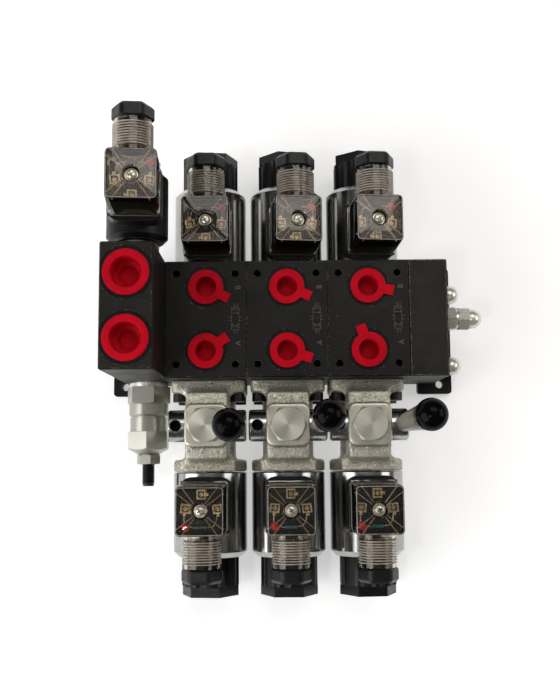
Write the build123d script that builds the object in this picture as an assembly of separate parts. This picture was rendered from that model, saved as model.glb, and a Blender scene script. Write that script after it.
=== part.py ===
from build123d import *
import os
from math import cos, radians

# Sectional directional control valve: an inlet section, three solenoid sections
# with hand levers, and an end plate, clamped by tie rods on two feet.
# X runs along the stack, Y along the spools, Z up from the feet to the ports.
# Millimetres. The origin is the middle of the feet's hole pattern, on the floor.

# Block stack
SECTION_COUNT = 3
INLET_WIDTH = 29.0
SECTION_GAP = 3.0
END_WIDTH = 23.0
BLOCK_LENGTH = 69.5
PORT_RISE = 38.0
INLET_RISE = 52.5
BLOCK_CHAMFER = 0.7
SEAM_CHAMFER = 0.3
OVERCUT = 1.0

# Feet
FOOT_THICKNESS = 6.0
FOOT_WIDTH = 22.0
FOOT_LENGTH = 82.0
FOOT_REACH = 11.5
FOOT_CORNER = 2.0
FOOT_HOLE_INSET = 7.8
FOOT_HOLE_SPACING = 70.0
FOOT_HOLE = 5.0
FOOT_SCREW = 6.0
FOOT_SCREW_HEAD = 11.0
FOOT_SCREW_SPACING = 20.0
FOOT_SCREW_DEPTH = 8.0
FOOT_SCREW_RECESS = 0.4
FOOT_SCREW_END_GAP = 1.0

# Work ports, main ports and their plastic caps
WORK_PORT_OFFSET = 19.0
WORK_PORT = 15.4
WORK_PORT_DEPTH = 14.0
WORK_SPOTFACE = 24.8
WORK_CAP = 20.6
WORK_CAP_RECESS = 12.2
MAIN_PORT_OFFSET = 17.8
MAIN_PORT = 18.8
MAIN_PORT_DEPTH = 17.0
MAIN_SPOTFACE = 29.6
MAIN_CAP = 25.4
MAIN_CAP_RECESS = 16.8
MAIN_CAP_NECK = 10.0
MAIN_CAP_CHAMFER = 0.4
MAIN_CAP_TAPER = 2.4
MAIN_CAP_STEP = 1.0
SPOTFACE_DEPTH = 0.4
CAP_FLANGE = 1.5
CAP_DEPTH = 10.0
CAP_FLOOR = 1.4
CAP_DRAFT = 1.0
CAP_TAB = 6.0
CAP_TAB_REACH = 5.1
CAP_TAB_LIFT = 0.1
CAP_TAB_TURNS = ((33.0, -28.0), (-19.0, -24.0), (109.0, -12.0))

# Tapped holes in each section's port face
FACE_HOLE = 4.2
FACE_HOLE_DEPTH = 11.0
FACE_HOLE_X = 34.8
FACE_HOLE_Y = 54.0

# Oil ways inside the blocks
PRESSURE_WAY = 9.0
PRESSURE_WAY_DROP = 6.0
TANK_WAY = 7.0
TANK_WAY_OFFSET = 27.0
TANK_WAY_RISE = 9.5
PORT_DRILL = 7.0
MAIN_DRILL = 13.0
CROSS_DRILL = 8.0
BLEED_DRILL = 3.0
SEAL_WIDTH = 1.6
SEAL_DEPTH = 1.4
SEAL_MARGIN = 0.8
SEAL_SLACK = 0.05

# Tie rods and their nuts: two low rods, in from the blocks' sides, and a high one
LOW_ROD_INSETS = (12.75, 10.75)
LOW_ROD_DROP = 13.7
HIGH_ROD_OFFSET = 2.0
HIGH_ROD_RISE = 15.4
TIE_ROD = 8.0
TIE_ROD_DEPTH = 16.0
TIE_ROD_SLACK = 0.4
TIE_ROD_END_GAP = 0.5
NUT_FLATS = 13.0
NUT_HEIGHT = 6.5
NUT_ROUNDING = 0.6
WASHER_THICKNESS = 1.6
WASHER = 15.5
COLLAR_THICKNESS = 1.5
COLLAR = 12.0
DOME = 12.0
CAP_NUT_HEIGHT = 14.5
CAP_NUT_TURN = 10.0
CAP_NUT_NECK = 10.6
CAP_NUT_NECK_LENGTH = 0.8

# Spools
SPOOL_RISE = 22.0
SPOOL = 14.0
SPOOL_GROOVE = 8.0
SPOOL_INSET = 6.0
LAND_INNER = 4.9
LAND_OUTER = 15.1
LAND_END = 22.9
RUNNING_FIT = 0.02
TAIL_BORE = 15.0

# Lever housings
HOUSING_LENGTH = 54.7
HOUSING_FLANGE_WIDTH = 45.0
HOUSING_FLANGE_DROP = 21.0
HOUSING_FLANGE_RISE = 22.0
HOUSING_FLANGE = 7.8
HOUSING_FLANGE_CORNER = 4.0
NECK_WIDTH = 25.0
NECK_RISE = 7.5
TUNNEL = 31.4
END_FLANGE = 7.0
END_FLANGE_TOP_WIDTH = 33.0
END_FLANGE_RISE = 24.0
BOSS_WIDTH = 25.3
BOSS_LENGTH = 24.7
BOSS_RISE = 12.5
BOSS_CORNER = 4.5
HOUSING_SCREW = 5.0
HOUSING_SCREW_HEAD = 8.5
HOUSING_SCREW_X = 34.8
HOUSING_SCREW_RISE = 14.5
HOUSING_SCREW_DEPTH = 6.0
HOUSING_SCREW_SLACK = 0.3
HEX_SOCKET = 4.0
HEX_SOCKET_DEPTH = 2.5
SCREW_CLEARANCE = 0.1
PLUG_FLATS = 19.0
PLUG_HEAD = 6.5
PLUG_THREAD = 14.0
PLUG_THREAD_LENGTH = 4.5

# Hand levers
LEVER_OFFSET = 62.5
SHAFT_RISE = 25.0
SHAFT = 19.0
SHAFT_LENGTH = 46.4
SHAFT_CHAMFER = 1.0
SHAFT_WAIST = 13.0
SHAFT_WAIST_LENGTH = 16.0
SHAFT_FIT = 0.05
LEVER_SOCKET_OFFSET = 18.0
LEVER_SOCKET = 6.8
LEVER_SOCKET_DEPTH = 13.0
FINGER = 6.0
FINGER_TOP_GAP = 0.3
FINGER_NECK = 3.6
FINGER_NECK_LENGTH = 3.0
FINGER_TAPER = 2.0
FINGER_BALL = 5.0
FINGER_BALL_RISE = 6.0
FINGER_GROOVE_FIT = 0.35
FINGER_GROOVE_ROOT = 6.0
WINDOW_WIDTH = 7.4
WINDOW_LENGTH = 13.6
STUD = 8.0
STUD_END_GAP = 0.5
STUD_TAPER = 0.8
HANDLE_START = 24.0
HANDLE_SHOULDER = 1.5
HANDLE_LOW = 10.0
HANDLE_HIGH = 14.0
HANDLE_END_TAPER = 6.0
KNOB = 16.0
KNOB_DISTANCE = 115.0
KNOB_FLAT = 0.8
KNOB_STUD = 6.0
KNOB_STUD_LENGTH = 7.0
KNOB_HOLE_DEPTH = 8.0
LEVER_LEANS = (2.0, 0.0, 0.0)
LEVER_TIPS = (0.6, 0.45, 0.6)

# Solenoids
COIL_GAP = 0.5
COIL_OVERHANG = 0.5
COIL_LENGTH = 50.6
COIL_BEVEL = 3.2
COIL_LIP = 0.6
TUBE = 18.0
TUBE_BORE = 15.4
TUBE_NOSE = 9.0
TUBE_LENGTH = 62.0
TUBE_END_WALL = 5.0
TUBE_FIT = 0.1
POLE_START = 8.0
POLE_LENGTH = 8.0
PIN = 4.0
PIN_HOLE = 4.6
ARMATURE = 14.8
ARMATURE_GAP = 3.6
ARMATURE_LENGTH = 33.0
SPRING = 11.6
SPRING_WIRE = 1.5
SPRING_TURNS = 3
COIL_NUT_ROUND = 34.5
COIL_NUT_GRIPS = 12
COIL_NUT_GRIP = 1.2
COIL_NUT_CREST = 8.0
COIL_NUT_GROOVE = 8.0
COIL_NUT_TURN = 8.0
COIL_NUT_TURN_STEP = 7.0
COIL_NUT_ROUND_LENGTH = 17.5
COIL_NUT_FLATS = 30.0
COIL_NUT_LENGTH = 23.3
COIL_NUT_DEPTH = 13.0
TERMINAL_WIDTH = 30.5
TERMINAL_LENGTH = 33.5
TERMINAL_START = 2.6
TERMINAL_CORNER = 7.0
TERMINAL_RISE = 4.2
TERMINAL_FIT = 0.1
CONNECTOR_TURNS = ((-2.5, 0.6), (1.4, 7.9), (3.1, 7.0))

# Plug-in connectors, measured from the coil's axis and inner end
CONNECTOR_GASKET = 1.5
CONNECTOR_BASE_WIDTH = 28.7
CONNECTOR_WIDTH = 27.6
CONNECTOR_START = 7.5
CONNECTOR_BASE_START = 4.9
CONNECTOR_END = 35.2
CONNECTOR_RISE = 27.0
CONNECTOR_CORNER = 1.6
CONNECTOR_WALL = 1.5
CONNECTOR_WELL = 11.2
CONNECTOR_WELL_DEPTH = 7.0
CONNECTOR_WELL_WALL = 0.8
CONNECTOR_SCREW = 3.0
CONNECTOR_SCREW_HOLE = 3.4
CONNECTOR_SCREW_HEAD = 6.6
CONNECTOR_SCREW_HEAD_HEIGHT = 2.6
CONNECTOR_SCREW_CHAMFER = 0.8
CONNECTOR_SCREW_SINK = 1.6
SPIGOT = 22.4
SPIGOT_BORE = 17.0
SPIGOT_LENGTH = 18.5
SPIGOT_DROP = 12.8
GLAND_FLATS = 20.4
GLAND_LENGTH = 8.3
GLAND_STUB = 6.0
CABLE_ENTRY = 8.0
INSERT_WIDTH = 21.0
INSERT_HEIGHT = 8.0
INSERT_BLOCK_WIDTH = 15.0

# Unloading solenoid on the inlet block
UNLOADER_DROP = 37.5
UNLOADER_FLATS = 22.0
UNLOADER_HEX_LENGTH = 7.0
UNLOADER_HEX_TURN = 4.0
UNLOADER_NOSE = 14.0
UNLOADER_NOSE_LENGTH = 9.0
UNLOADER_TUBE = 13.0
UNLOADER_TUBE_BORE = 9.0
UNLOADER_COIL = 35.6
UNLOADER_COIL_LENGTH = 40.0
UNLOADER_COIL_EDGE = 2.5
UNLOADER_CONNECTOR_SHIFT = 3.8
UNLOADER_CONNECTOR_TURN = 5.0
UNLOADER_NUT = 20.0
UNLOADER_NUT_LENGTH = 8.0
UNLOADER_NUT_CHAMFER = 1.0
UNLOADER_ARMATURE = 8.6
UNLOADER_ARMATURE_LENGTH = 20.0
UNLOADER_REST = 0.3
UNLOADER_SPRING = 7.0
UNLOADER_SPRING_LENGTH = 9.0
UNLOADER_SPRING_WIRE = 1.0
NEEDLE_SLACK = 0.4
NEEDLE_POINT = 2.0
NEEDLE_TAPER = 2.0
NEEDLE_END_GAP = 0.2

# Relief valve under the inlet block
RELIEF_CAVITY = 16.0
RELIEF_NOSE_LENGTH = 21.0
RELIEF_WASHER = 24.0
RELIEF_WASHER_THICKNESS = 2.5
RELIEF_FLATS = 24.0
RELIEF_HEX_TURN = 10.0
RELIEF_HEX_END = 13.2
RELIEF_COLLAR = 24.2
RELIEF_COLLAR_END = 20.5
RELIEF_COLLAR_EDGE = 22.8
RELIEF_COLLAR_BEVEL = 1.0
RELIEF_GROOVE = 21.0
RELIEF_GROOVE_WIDTH = 0.8
RELIEF_SLEEVE = 22.8
RELIEF_SLEEVE_END = 30.0
RELIEF_SLEEVE_HEX_END = 41.1
RELIEF_SLEEVE_FLATS = 23.7
RELIEF_SLEEVE_HEX_TURN = 28.0
RELIEF_TAPER_END = 44.1
RELIEF_TAPER = 13.0
RELIEF_TAPER_STEP = 0.4
RELIEF_BORE = 11.0
RELIEF_BORE_END = 38.0
RELIEF_SEAT_BORE = 5.0
RELIEF_SEAT_WALL = 4.0
RELIEF_SCREW = 8.0
RELIEF_SCREW_END = 63.4
RELIEF_SCREW_POINT = 7.0
RELIEF_SCREW_POINT_BEVEL = 0.5
RELIEF_SCREW_EDGE = 6.4
RELIEF_SCREW_BEVEL = 1.0
RELIEF_DISC = 10.6
RELIEF_DISC_START = 26.0
RELIEF_DISC_THICKNESS = 3.0
RELIEF_POPPET = 9.6
RELIEF_POPPET_LENGTH = 6.0
POPPET_POINT = 4.0
POPPET_POINT_LENGTH = 0.6
POPPET_RIM = 4.8
POPPET_CONE = 2.4
RELIEF_SPRING = 8.4
RELIEF_SPRING_TURNS = 6
RELIEF_PEG = 4.8
RELIEF_PEG_LENGTH = 3.0
RELIEF_LOCK_NUT_HEIGHT = 5.9
RELIEF_LOCK_NUT_TURN = 12.0

# Heights, lengths and places that follow from the values above
SPOOL_HEIGHT = FOOT_THICKNESS + SPOOL_RISE
PRESSURE_WAY_Z = SPOOL_HEIGHT - PRESSURE_WAY_DROP
TANK_WAY_Z = SPOOL_HEIGHT + TANK_WAY_RISE
BLOCK_SIDE = BLOCK_LENGTH / 2
TIE_RODS = [
    (BLOCK_SIDE - LOW_ROD_INSETS[0], SPOOL_HEIGHT - LOW_ROD_DROP),
    (LOW_ROD_INSETS[1] - BLOCK_SIDE, SPOOL_HEIGHT - LOW_ROD_DROP),
    (HIGH_ROD_OFFSET, SPOOL_HEIGHT + HIGH_ROD_RISE),
]
COIL = 2 * (SPOOL_RISE + COIL_OVERHANG)
SECTION_PITCH = COIL + SECTION_GAP
TERMINAL_HEIGHT = COIL / 2 + TERMINAL_RISE
CONNECTOR_HEIGHT = TERMINAL_HEIGHT + CONNECTOR_RISE
SPIGOT_HEIGHT = CONNECTOR_HEIGHT - SPIGOT_DROP
SHAFT_HEIGHT = SPOOL_HEIGHT + SHAFT_RISE
NECK_HIGH = SHAFT_HEIGHT + NECK_RISE
BOSS_HIGH = SHAFT_HEIGHT + BOSS_RISE
PLUG_HIGH = BOSS_HIGH + PLUG_HEAD
STACK_LENGTH = INLET_WIDTH + SECTION_COUNT * SECTION_PITCH + END_WIDTH
INLET_LEFT = -STACK_LENGTH / 2
INLET_RIGHT = INLET_LEFT + INLET_WIDTH
INLET_MIDDLE = INLET_LEFT + INLET_WIDTH / 2
END_LEFT = STACK_LENGTH / 2 - END_WIDTH
END_RIGHT = STACK_LENGTH / 2
PORT_FACE = SPOOL_HEIGHT + PORT_RISE
INLET_TOP = PORT_FACE + INLET_RISE
UNLOADER_HEIGHT = INLET_TOP - UNLOADER_DROP
SECTIONS = [INLET_RIGHT + SECTION_PITCH * (i + 0.5) for i in range(SECTION_COUNT)]
HOUSING_END = BLOCK_SIDE + HOUSING_LENGTH
LOW = Align.MIN
MID = Align.CENTER


def block(x, y, z):
    """A box between two corners, given as (low, high) along X, Y and Z."""
    middle = [(low + high) / 2 for low, high in (x, y, z)]
    return Pos(*middle) * Box(x[1] - x[0], y[1] - y[0], z[1] - z[0])


def rod(diameter, start, end):
    """A round bar along Z from one height to another."""
    return Pos(0, 0, start) * Cylinder(diameter / 2, end - start, align=(MID, MID, LOW))


def hexagon(flats, start, end, turn=0.0):
    """A hexagonal bar along Z, turned about its axis by an angle."""
    outline = Rot(0, 0, turn) * RegularPolygon(flats / 2, 6, major_radius=False)
    return Pos(0, 0, start) * extrude(outline, end - start)


def turned(*profile):
    """A turned piece about Z, from its (diameter, height) corners, closed on the axis."""
    corners = [(diameter / 2, height) for diameter, height in profile]
    closed = [(0, corners[0][1])] + corners + [(0, corners[-1][1])]
    outline = Plane.XZ * make_face(Polyline(*closed, close=True))
    return revolve(outline, Axis.Z)


def rounded_hexagon(flats, start, end, turn=0.0, both=False):
    """A hexagon whose corners are chamfered round, as on a nut, at its end or both ends."""
    corner = flats / cos(radians(30))
    fall = (corner - flats) / 2 * NUT_ROUNDING
    first = (flats, start), (corner, start + fall)
    low = first if both else ((corner, start),)
    shell = turned(*low, (corner, end - fall), (flats, end))
    return hexagon(flats, start, end, turn) & shell


def coil_spring(diameter, wire, start, end, turns):
    """A spring along Z, its wire lying inside the two end planes."""
    radius = (diameter - wire) / 2
    rise = end - start - wire
    path = Pos(0, 0, start + wire / 2) * Helix(rise / turns, rise, radius)
    section = Plane(path @ 0, z_dir=path % 0) * RegularPolygon(wire / 2, 4)
    return sweep(section, path, is_frenet=True)


def along_x(piece):
    return Rot(0, 90, 0) * piece


def outward(piece, x, z, side, start, turn=0.0):
    """Lays a piece modelled along Z along +Y or -Y, its own Y then pointing down."""
    flip = 0 if side > 0 else 180
    return Pos(x, side * start, z) * Rot(0, 0, flip) * Rot(0, side * turn, 0) * Rot(-90, 0, 0) * piece


def upright(piece, x, z, side, start, turn=0.0):
    """Places a piece modelled with Y outward and Z up at one end of a spool or cartridge."""
    flip = 0 if side > 0 else 180
    return Pos(x, side * start, z) * Rot(0, 0, flip) * Rot(0, side * turn, 0) * piece


def save(name, *pieces):
    solids = [solid for piece in pieces for solid in piece.solids()]
    shape = solids[0] if len(solids) == 1 else Compound(children=solids)
    shape.label = name
    export_step(shape, os.path.join("parts", name + ".step"))


def way_along_x(diameter, y, z, left, right):
    return Pos(left, y, z) * along_x(rod(diameter, 0, right - left))


def seal_places():
    """The three oil ways that cross every joint of the stack, as (diameter, Y, Z)."""
    tank = [(TANK_WAY, side * TANK_WAY_OFFSET, TANK_WAY_Z) for side in (-1, 1)]
    return [(PRESSURE_WAY, 0.0, PRESSURE_WAY_Z)] + tank


def seal_ring(diameter, slack):
    inner = diameter / 2 + SEAL_MARGIN - slack
    outer = diameter / 2 + SEAL_MARGIN + SEAL_WIDTH + slack
    ring = rod(2 * outer, 0, SEAL_DEPTH) - rod(2 * inner, 0, SEAL_DEPTH)
    return along_x(ring)


def tube_socket(side_start, side, x):
    """The hole that takes a solenoid tube's nose, cut inwards from a side."""
    nose = rod(TUBE + 2 * TUBE_FIT, -TUBE_NOSE, 0)
    return outward(nose, x, SPOOL_HEIGHT, side, side_start)


def housing_screw_places():
    heights = (SPOOL_HEIGHT - HOUSING_SCREW_RISE, SPOOL_HEIGHT + HOUSING_SCREW_RISE)
    return [(side * HOUSING_SCREW_X / 2, z) for side in (-1, 1) for z in heights]


def section_body(x):
    """One valve section: ports on top, the spool bore along Y, oil ways along X."""
    left, right = x - SECTION_PITCH / 2, x + SECTION_PITCH / 2
    body = block((left, right), (-BLOCK_SIDE, BLOCK_SIDE), (FOOT_THICKNESS, PORT_FACE))
    body = chamfer(body.faces().sort_by(Axis.Z)[-1].edges().filter_by(Axis.X), BLOCK_CHAMFER)
    body = chamfer(body.faces().sort_by(Axis.Z)[-1].edges().filter_by(Axis.Y), SEAM_CHAMFER)
    bore = Pos(x, 0, SPOOL_HEIGHT) * Rot(90, 0, 0) * Cylinder(SPOOL / 2, BLOCK_LENGTH)
    body = body - bore - tube_socket(BLOCK_SIDE, 1, x)
    for side in (-1, 1):
        port = Pos(x, side * WORK_PORT_OFFSET, 0)
        body -= port * rod(WORK_SPOTFACE, PORT_FACE - SPOTFACE_DEPTH, PORT_FACE)
        body -= port * rod(WORK_PORT, PORT_FACE - WORK_PORT_DEPTH, PORT_FACE)
        body -= port * rod(PORT_DRILL, SPOOL_HEIGHT, PORT_FACE)
        for y_side in (-1, 1):
            hole = rod(FACE_HOLE, PORT_FACE - FACE_HOLE_DEPTH, PORT_FACE)
            body -= Pos(x + side * FACE_HOLE_X / 2, y_side * FACE_HOLE_Y / 2, 0) * hole
    for y, z in TIE_RODS:
        body -= way_along_x(TIE_ROD + TIE_ROD_SLACK, y, z, left, right)
    for diameter, y, z in seal_places():
        body -= way_along_x(diameter, y, z, left, right)
        body -= Pos(left, y, z) * seal_ring(diameter, SEAL_SLACK)
    for dx, z in housing_screw_places():
        hole = rod(HOUSING_SCREW + 2 * SCREW_CLEARANCE, -HOUSING_SCREW_DEPTH - HOUSING_SCREW_SLACK, 0)
        body -= outward(hole, x + dx, z, -1, BLOCK_SIDE)
    return body


def foot_screw_places(x):
    return [(x, side * FOOT_SCREW_SPACING / 2) for side in (-1, 1)]


def foot_screw_line(side):
    """The X place of a foot's fixing screws, in the middle of its overlap with the block."""
    overlap = FOOT_WIDTH - FOOT_REACH
    return side * (STACK_LENGTH / 2 - overlap / 2)


def foot_screw_holes(side):
    depth = FOOT_THICKNESS + FOOT_SCREW_DEPTH
    hole = rod(FOOT_SCREW + 2 * SCREW_CLEARANCE, 0, depth)
    return [Pos(x, y, 0) * hole for x, y in foot_screw_places(foot_screw_line(side))]


def inlet_block():
    """The inlet section: two main ports on top, the unloader above, the relief valve below."""
    body = block((INLET_LEFT, INLET_RIGHT), (-BLOCK_SIDE, BLOCK_SIDE), (FOOT_THICKNESS, INLET_TOP))
    body = chamfer(body.edges().filter_by(Axis.Z) + body.faces().sort_by(Axis.Z)[-1].edges(), BLOCK_CHAMFER)
    for side, bottom in ((1, PRESSURE_WAY_Z - PRESSURE_WAY / 4), (-1, TANK_WAY_Z - TANK_WAY)):
        port = Pos(INLET_MIDDLE, side * MAIN_PORT_OFFSET, 0)
        body -= port * rod(MAIN_SPOTFACE, INLET_TOP - SPOTFACE_DEPTH, INLET_TOP)
        body -= port * rod(MAIN_PORT, INLET_TOP - MAIN_PORT_DEPTH, INLET_TOP)
        body -= port * rod(MAIN_DRILL, bottom, INLET_TOP)
    for diameter, y, z in seal_places()[:2]:
        body -= way_along_x(diameter, y, z, INLET_MIDDLE, INLET_RIGHT)
    for y, z in TIE_RODS:
        body -= way_along_x(TIE_ROD + 2 * SCREW_CLEARANCE, y, z, INLET_RIGHT - TIE_ROD_DEPTH, INLET_RIGHT)
    cavity = rod(RELIEF_CAVITY, -RELIEF_NOSE_LENGTH - OVERCUT, 0)
    body -= outward(cavity, INLET_MIDDLE, SPOOL_HEIGHT, -1, BLOCK_SIDE)
    cross = rod(CROSS_DRILL, -BLOCK_SIDE - MAIN_PORT_OFFSET, 0)
    body -= outward(cross, INLET_MIDDLE, SPOOL_HEIGHT, -1, BLOCK_SIDE)
    cavity = rod(UNLOADER_NOSE + 2 * TUBE_FIT, -UNLOADER_NOSE_LENGTH - OVERCUT, 0)
    body -= outward(cavity, INLET_MIDDLE, UNLOADER_HEIGHT, 1, BLOCK_SIDE)
    bleed = rod(BLEED_DRILL, -BLOCK_SIDE - MAIN_PORT_OFFSET, 0)
    body -= outward(bleed, INLET_MIDDLE, UNLOADER_HEIGHT, 1, BLOCK_SIDE)
    for hole in foot_screw_holes(-1):
        body -= hole
    return body


def end_plate():
    body = block((END_LEFT, END_RIGHT), (-BLOCK_SIDE, BLOCK_SIDE), (FOOT_THICKNESS, PORT_FACE))
    outer = body.edges().filter_by(Axis.Z).group_by(Axis.X)[-1]
    body = chamfer(outer + body.faces().sort_by(Axis.Z)[-1].edges(), BLOCK_CHAMFER)
    for y, z in TIE_RODS:
        body -= way_along_x(TIE_ROD + TIE_ROD_SLACK, y, z, END_LEFT, END_RIGHT)
    for diameter, y, z in seal_places():
        body -= Pos(END_LEFT, y, z) * seal_ring(diameter, SEAL_SLACK)
    for hole in foot_screw_holes(1):
        body -= hole
    return body


def foot(side):
    """A flat foot under one end of the stack, with two tapped fixing holes outside it."""
    inner = side * (STACK_LENGTH / 2 + FOOT_REACH - FOOT_WIDTH)
    outer = side * (STACK_LENGTH / 2 + FOOT_REACH)
    ends = (min(inner, outer), max(inner, outer))
    plate = block(ends, (-FOOT_LENGTH / 2, FOOT_LENGTH / 2), (0, FOOT_THICKNESS))
    plate = fillet(plate.edges().filter_by(Axis.Z), FOOT_CORNER)
    for y_side in (-1, 1):
        place = Pos(outer - side * FOOT_HOLE_INSET, y_side * FOOT_HOLE_SPACING / 2, 0)
        plate -= place * rod(FOOT_HOLE, 0, FOOT_THICKNESS)
    sink = FOOT_SCREW_RECESS + (FOOT_SCREW_HEAD - FOOT_SCREW) / 2 + SCREW_CLEARANCE
    wide, narrow = FOOT_SCREW_HEAD + 2 * SCREW_CLEARANCE, FOOT_SCREW + 2 * SCREW_CLEARANCE
    cut = turned((wide, 0), (wide, FOOT_SCREW_RECESS), (narrow, sink), (narrow, FOOT_THICKNESS))
    for x, y in foot_screw_places(foot_screw_line(side)):
        plate -= Pos(x, y, 0) * cut
    return plate


def foot_screw():
    start = FOOT_SCREW_RECESS
    shank = start + (FOOT_SCREW_HEAD - FOOT_SCREW) / 2
    top = FOOT_THICKNESS + FOOT_SCREW_DEPTH - FOOT_SCREW_END_GAP
    screw = turned((FOOT_SCREW_HEAD, start), (FOOT_SCREW, shank), (FOOT_SCREW, top))
    return screw - hexagon(HEX_SOCKET, start, start + HEX_SOCKET_DEPTH)


def tie_rod(y, z):
    """A rod screwed into the inlet block and reaching through the end plate to its nuts."""
    left = INLET_RIGHT - TIE_ROD_DEPTH + TIE_ROD_END_GAP
    reach = WASHER_THICKNESS + NUT_HEIGHT
    if (y, z) == TIE_RODS[-1]:
        reach += NUT_HEIGHT + COLLAR_THICKNESS
    return way_along_x(TIE_ROD, y, z, left, END_RIGHT + reach)


def cap_nut(flats_length, height):
    """A dome nut along Z with a blind hole for the rod."""
    hexed = rounded_hexagon(NUT_FLATS, 0, flats_length, CAP_NUT_TURN)
    neck = flats_length + CAP_NUT_NECK_LENGTH
    dome = rod(CAP_NUT_NECK, 0, neck) + rod(DOME, neck, height - DOME / 2)
    dome += Pos(0, 0, height - DOME / 2) * Sphere(DOME / 2)
    return hexed + dome - rod(TIE_ROD + 2 * SCREW_CLEARANCE, 0, flats_length)


def plain_nut(flats, height, hole, turn=0.0):
    return rounded_hexagon(flats, 0, height, turn, both=True) - rod(hole, 0, height)


def ring(outer, inner, thickness):
    return rod(outer, 0, thickness) - rod(inner, 0, thickness)


def tie_rod_hardware():
    """Washers, nuts and dome nuts on the rods' right-hand ends."""
    hole = TIE_ROD + 2 * SCREW_CLEARANCE
    washers, nuts = [], []
    for y, z in TIE_RODS:
        washers.append(Pos(END_RIGHT, y, z) * along_x(ring(WASHER, hole, WASHER_THICKNESS)))
        x = END_RIGHT + WASHER_THICKNESS
        if (y, z) == TIE_RODS[-1]:
            nuts.append(Pos(x, y, z) * along_x(plain_nut(NUT_FLATS, NUT_HEIGHT, hole)))
            x += NUT_HEIGHT
            washers.append(Pos(x, y, z) * along_x(ring(COLLAR, hole, COLLAR_THICKNESS)))
            x += COLLAR_THICKNESS
        nuts.append(Pos(x, y, z) * along_x(cap_nut(NUT_HEIGHT, CAP_NUT_HEIGHT)))
    return washers, nuts


def section_seals():
    """Seal rings in the left face of each section and of the end plate."""
    faces = [x - SECTION_PITCH / 2 for x in SECTIONS] + [END_LEFT]
    places = seal_places()
    return [Pos(face, y, z) * seal_ring(diameter, 0) for face in faces for diameter, y, z in places]


def main_port_plug():
    """A moulded plug with a wide rim, hollow, its well narrowing in a step to the bottom."""
    stem = MAIN_PORT - 2 * SCREW_CLEARANCE
    body = rod(MAIN_CAP, 0, CAP_FLANGE) + rod(stem, -CAP_DEPTH, 0)
    step = -CAP_DEPTH / 2
    well = turned((MAIN_CAP_NECK - CAP_DRAFT, -CAP_DEPTH + CAP_FLOOR), (MAIN_CAP_NECK, step),
                  (MAIN_CAP_RECESS - MAIN_CAP_TAPER, step + MAIN_CAP_STEP), (MAIN_CAP_RECESS, CAP_FLANGE))
    rim = body.faces().sort_by(Axis.Z)[-1].edges()
    return chamfer(rim, MAIN_CAP_CHAMFER) - well


def work_port_cap(turn):
    """A moulded cap with a rim, a pull tab and a hollow stem."""
    stem = WORK_PORT - 2 * SCREW_CLEARANCE
    reach = WORK_CAP / 2 + CAP_TAB_REACH
    tab = block((0, reach), (-CAP_TAB / 2, CAP_TAB / 2), (SPOTFACE_DEPTH + CAP_TAB_LIFT, CAP_FLANGE))
    body = rod(WORK_CAP, 0, CAP_FLANGE) + tab + rod(stem, -CAP_DEPTH, 0)
    well = turned((WORK_CAP_RECESS - CAP_DRAFT, -CAP_DEPTH + CAP_FLOOR), (WORK_CAP_RECESS, CAP_FLANGE))
    return Rot(0, 0, turn) * (body - well)


def lever_housing(x):
    """The cast housing between a section and its lower solenoid, which carries the shaft."""
    start, end = -BLOCK_SIDE, -HOUSING_END
    neck = (start - HOUSING_FLANGE, end + END_FLANGE)
    half = HOUSING_FLANGE_WIDTH / 2
    low, high = SPOOL_HEIGHT - HOUSING_FLANGE_DROP, SPOOL_HEIGHT + HOUSING_FLANGE_RISE
    body = block((-half, half), (neck[0], start), (low, high))
    body = fillet(body.edges().filter_by(Axis.Y), HOUSING_FLANGE_CORNER)
    half = NECK_WIDTH / 2
    body += block((-half, half), (neck[1], neck[0]), (SPOOL_HEIGHT, NECK_HIGH))
    tunnel = rod(TUNNEL, HOUSING_FLANGE, HOUSING_LENGTH - END_FLANGE)
    body += outward(tunnel, 0, SPOOL_HEIGHT, -1, BLOCK_SIDE)
    outline = Circle(COIL / 2)
    outline += Pos(0, -END_FLANGE_RISE / 2) * Rectangle(END_FLANGE_TOP_WIDTH, END_FLANGE_RISE)
    collar = extrude(outline, END_FLANGE)
    body += outward(collar, 0, SPOOL_HEIGHT, -1, HOUSING_END - END_FLANGE)
    pad = extrude(RectangleRounded(BOSS_WIDTH, BOSS_LENGTH, BOSS_CORNER), BOSS_HIGH - SHAFT_HEIGHT)
    body += Pos(0, -LEVER_OFFSET, SHAFT_HEIGHT) * pad
    shaft_bore = along_x(Cylinder(SHAFT / 2 + SHAFT_FIT, BOSS_WIDTH + 2 * OVERCUT))
    over = Pos(0, -LEVER_OFFSET, 0)
    body -= over * Pos(0, 0, SHAFT_HEIGHT) * shaft_bore
    body -= over * rod(PLUG_THREAD + 2 * SCREW_CLEARANCE, SHAFT_HEIGHT, BOSS_HIGH)
    body -= over * block((-WINDOW_WIDTH / 2, WINDOW_WIDTH / 2),
                         (-WINDOW_LENGTH / 2, WINDOW_LENGTH / 2), (SPOOL_HEIGHT, SHAFT_HEIGHT))
    body -= outward(rod(TAIL_BORE, 0, HOUSING_LENGTH), 0, SPOOL_HEIGHT, -1, BLOCK_SIDE)
    body -= tube_socket(HOUSING_END, -1, 0)
    for dx, z in housing_screw_places():
        hole = rod(HOUSING_SCREW + 4 * SCREW_CLEARANCE, 0, HOUSING_FLANGE)
        body -= outward(hole, dx, z, -1, BLOCK_SIDE)
    return Pos(x, 0, 0) * body


def housing_plug():
    """The hexagon plug that closes the boss over the shaft."""
    head = rounded_hexagon(PLUG_FLATS, BOSS_HIGH, PLUG_HIGH)
    return head + rod(PLUG_THREAD, BOSS_HIGH - PLUG_THREAD_LENGTH, BOSS_HIGH)


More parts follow.
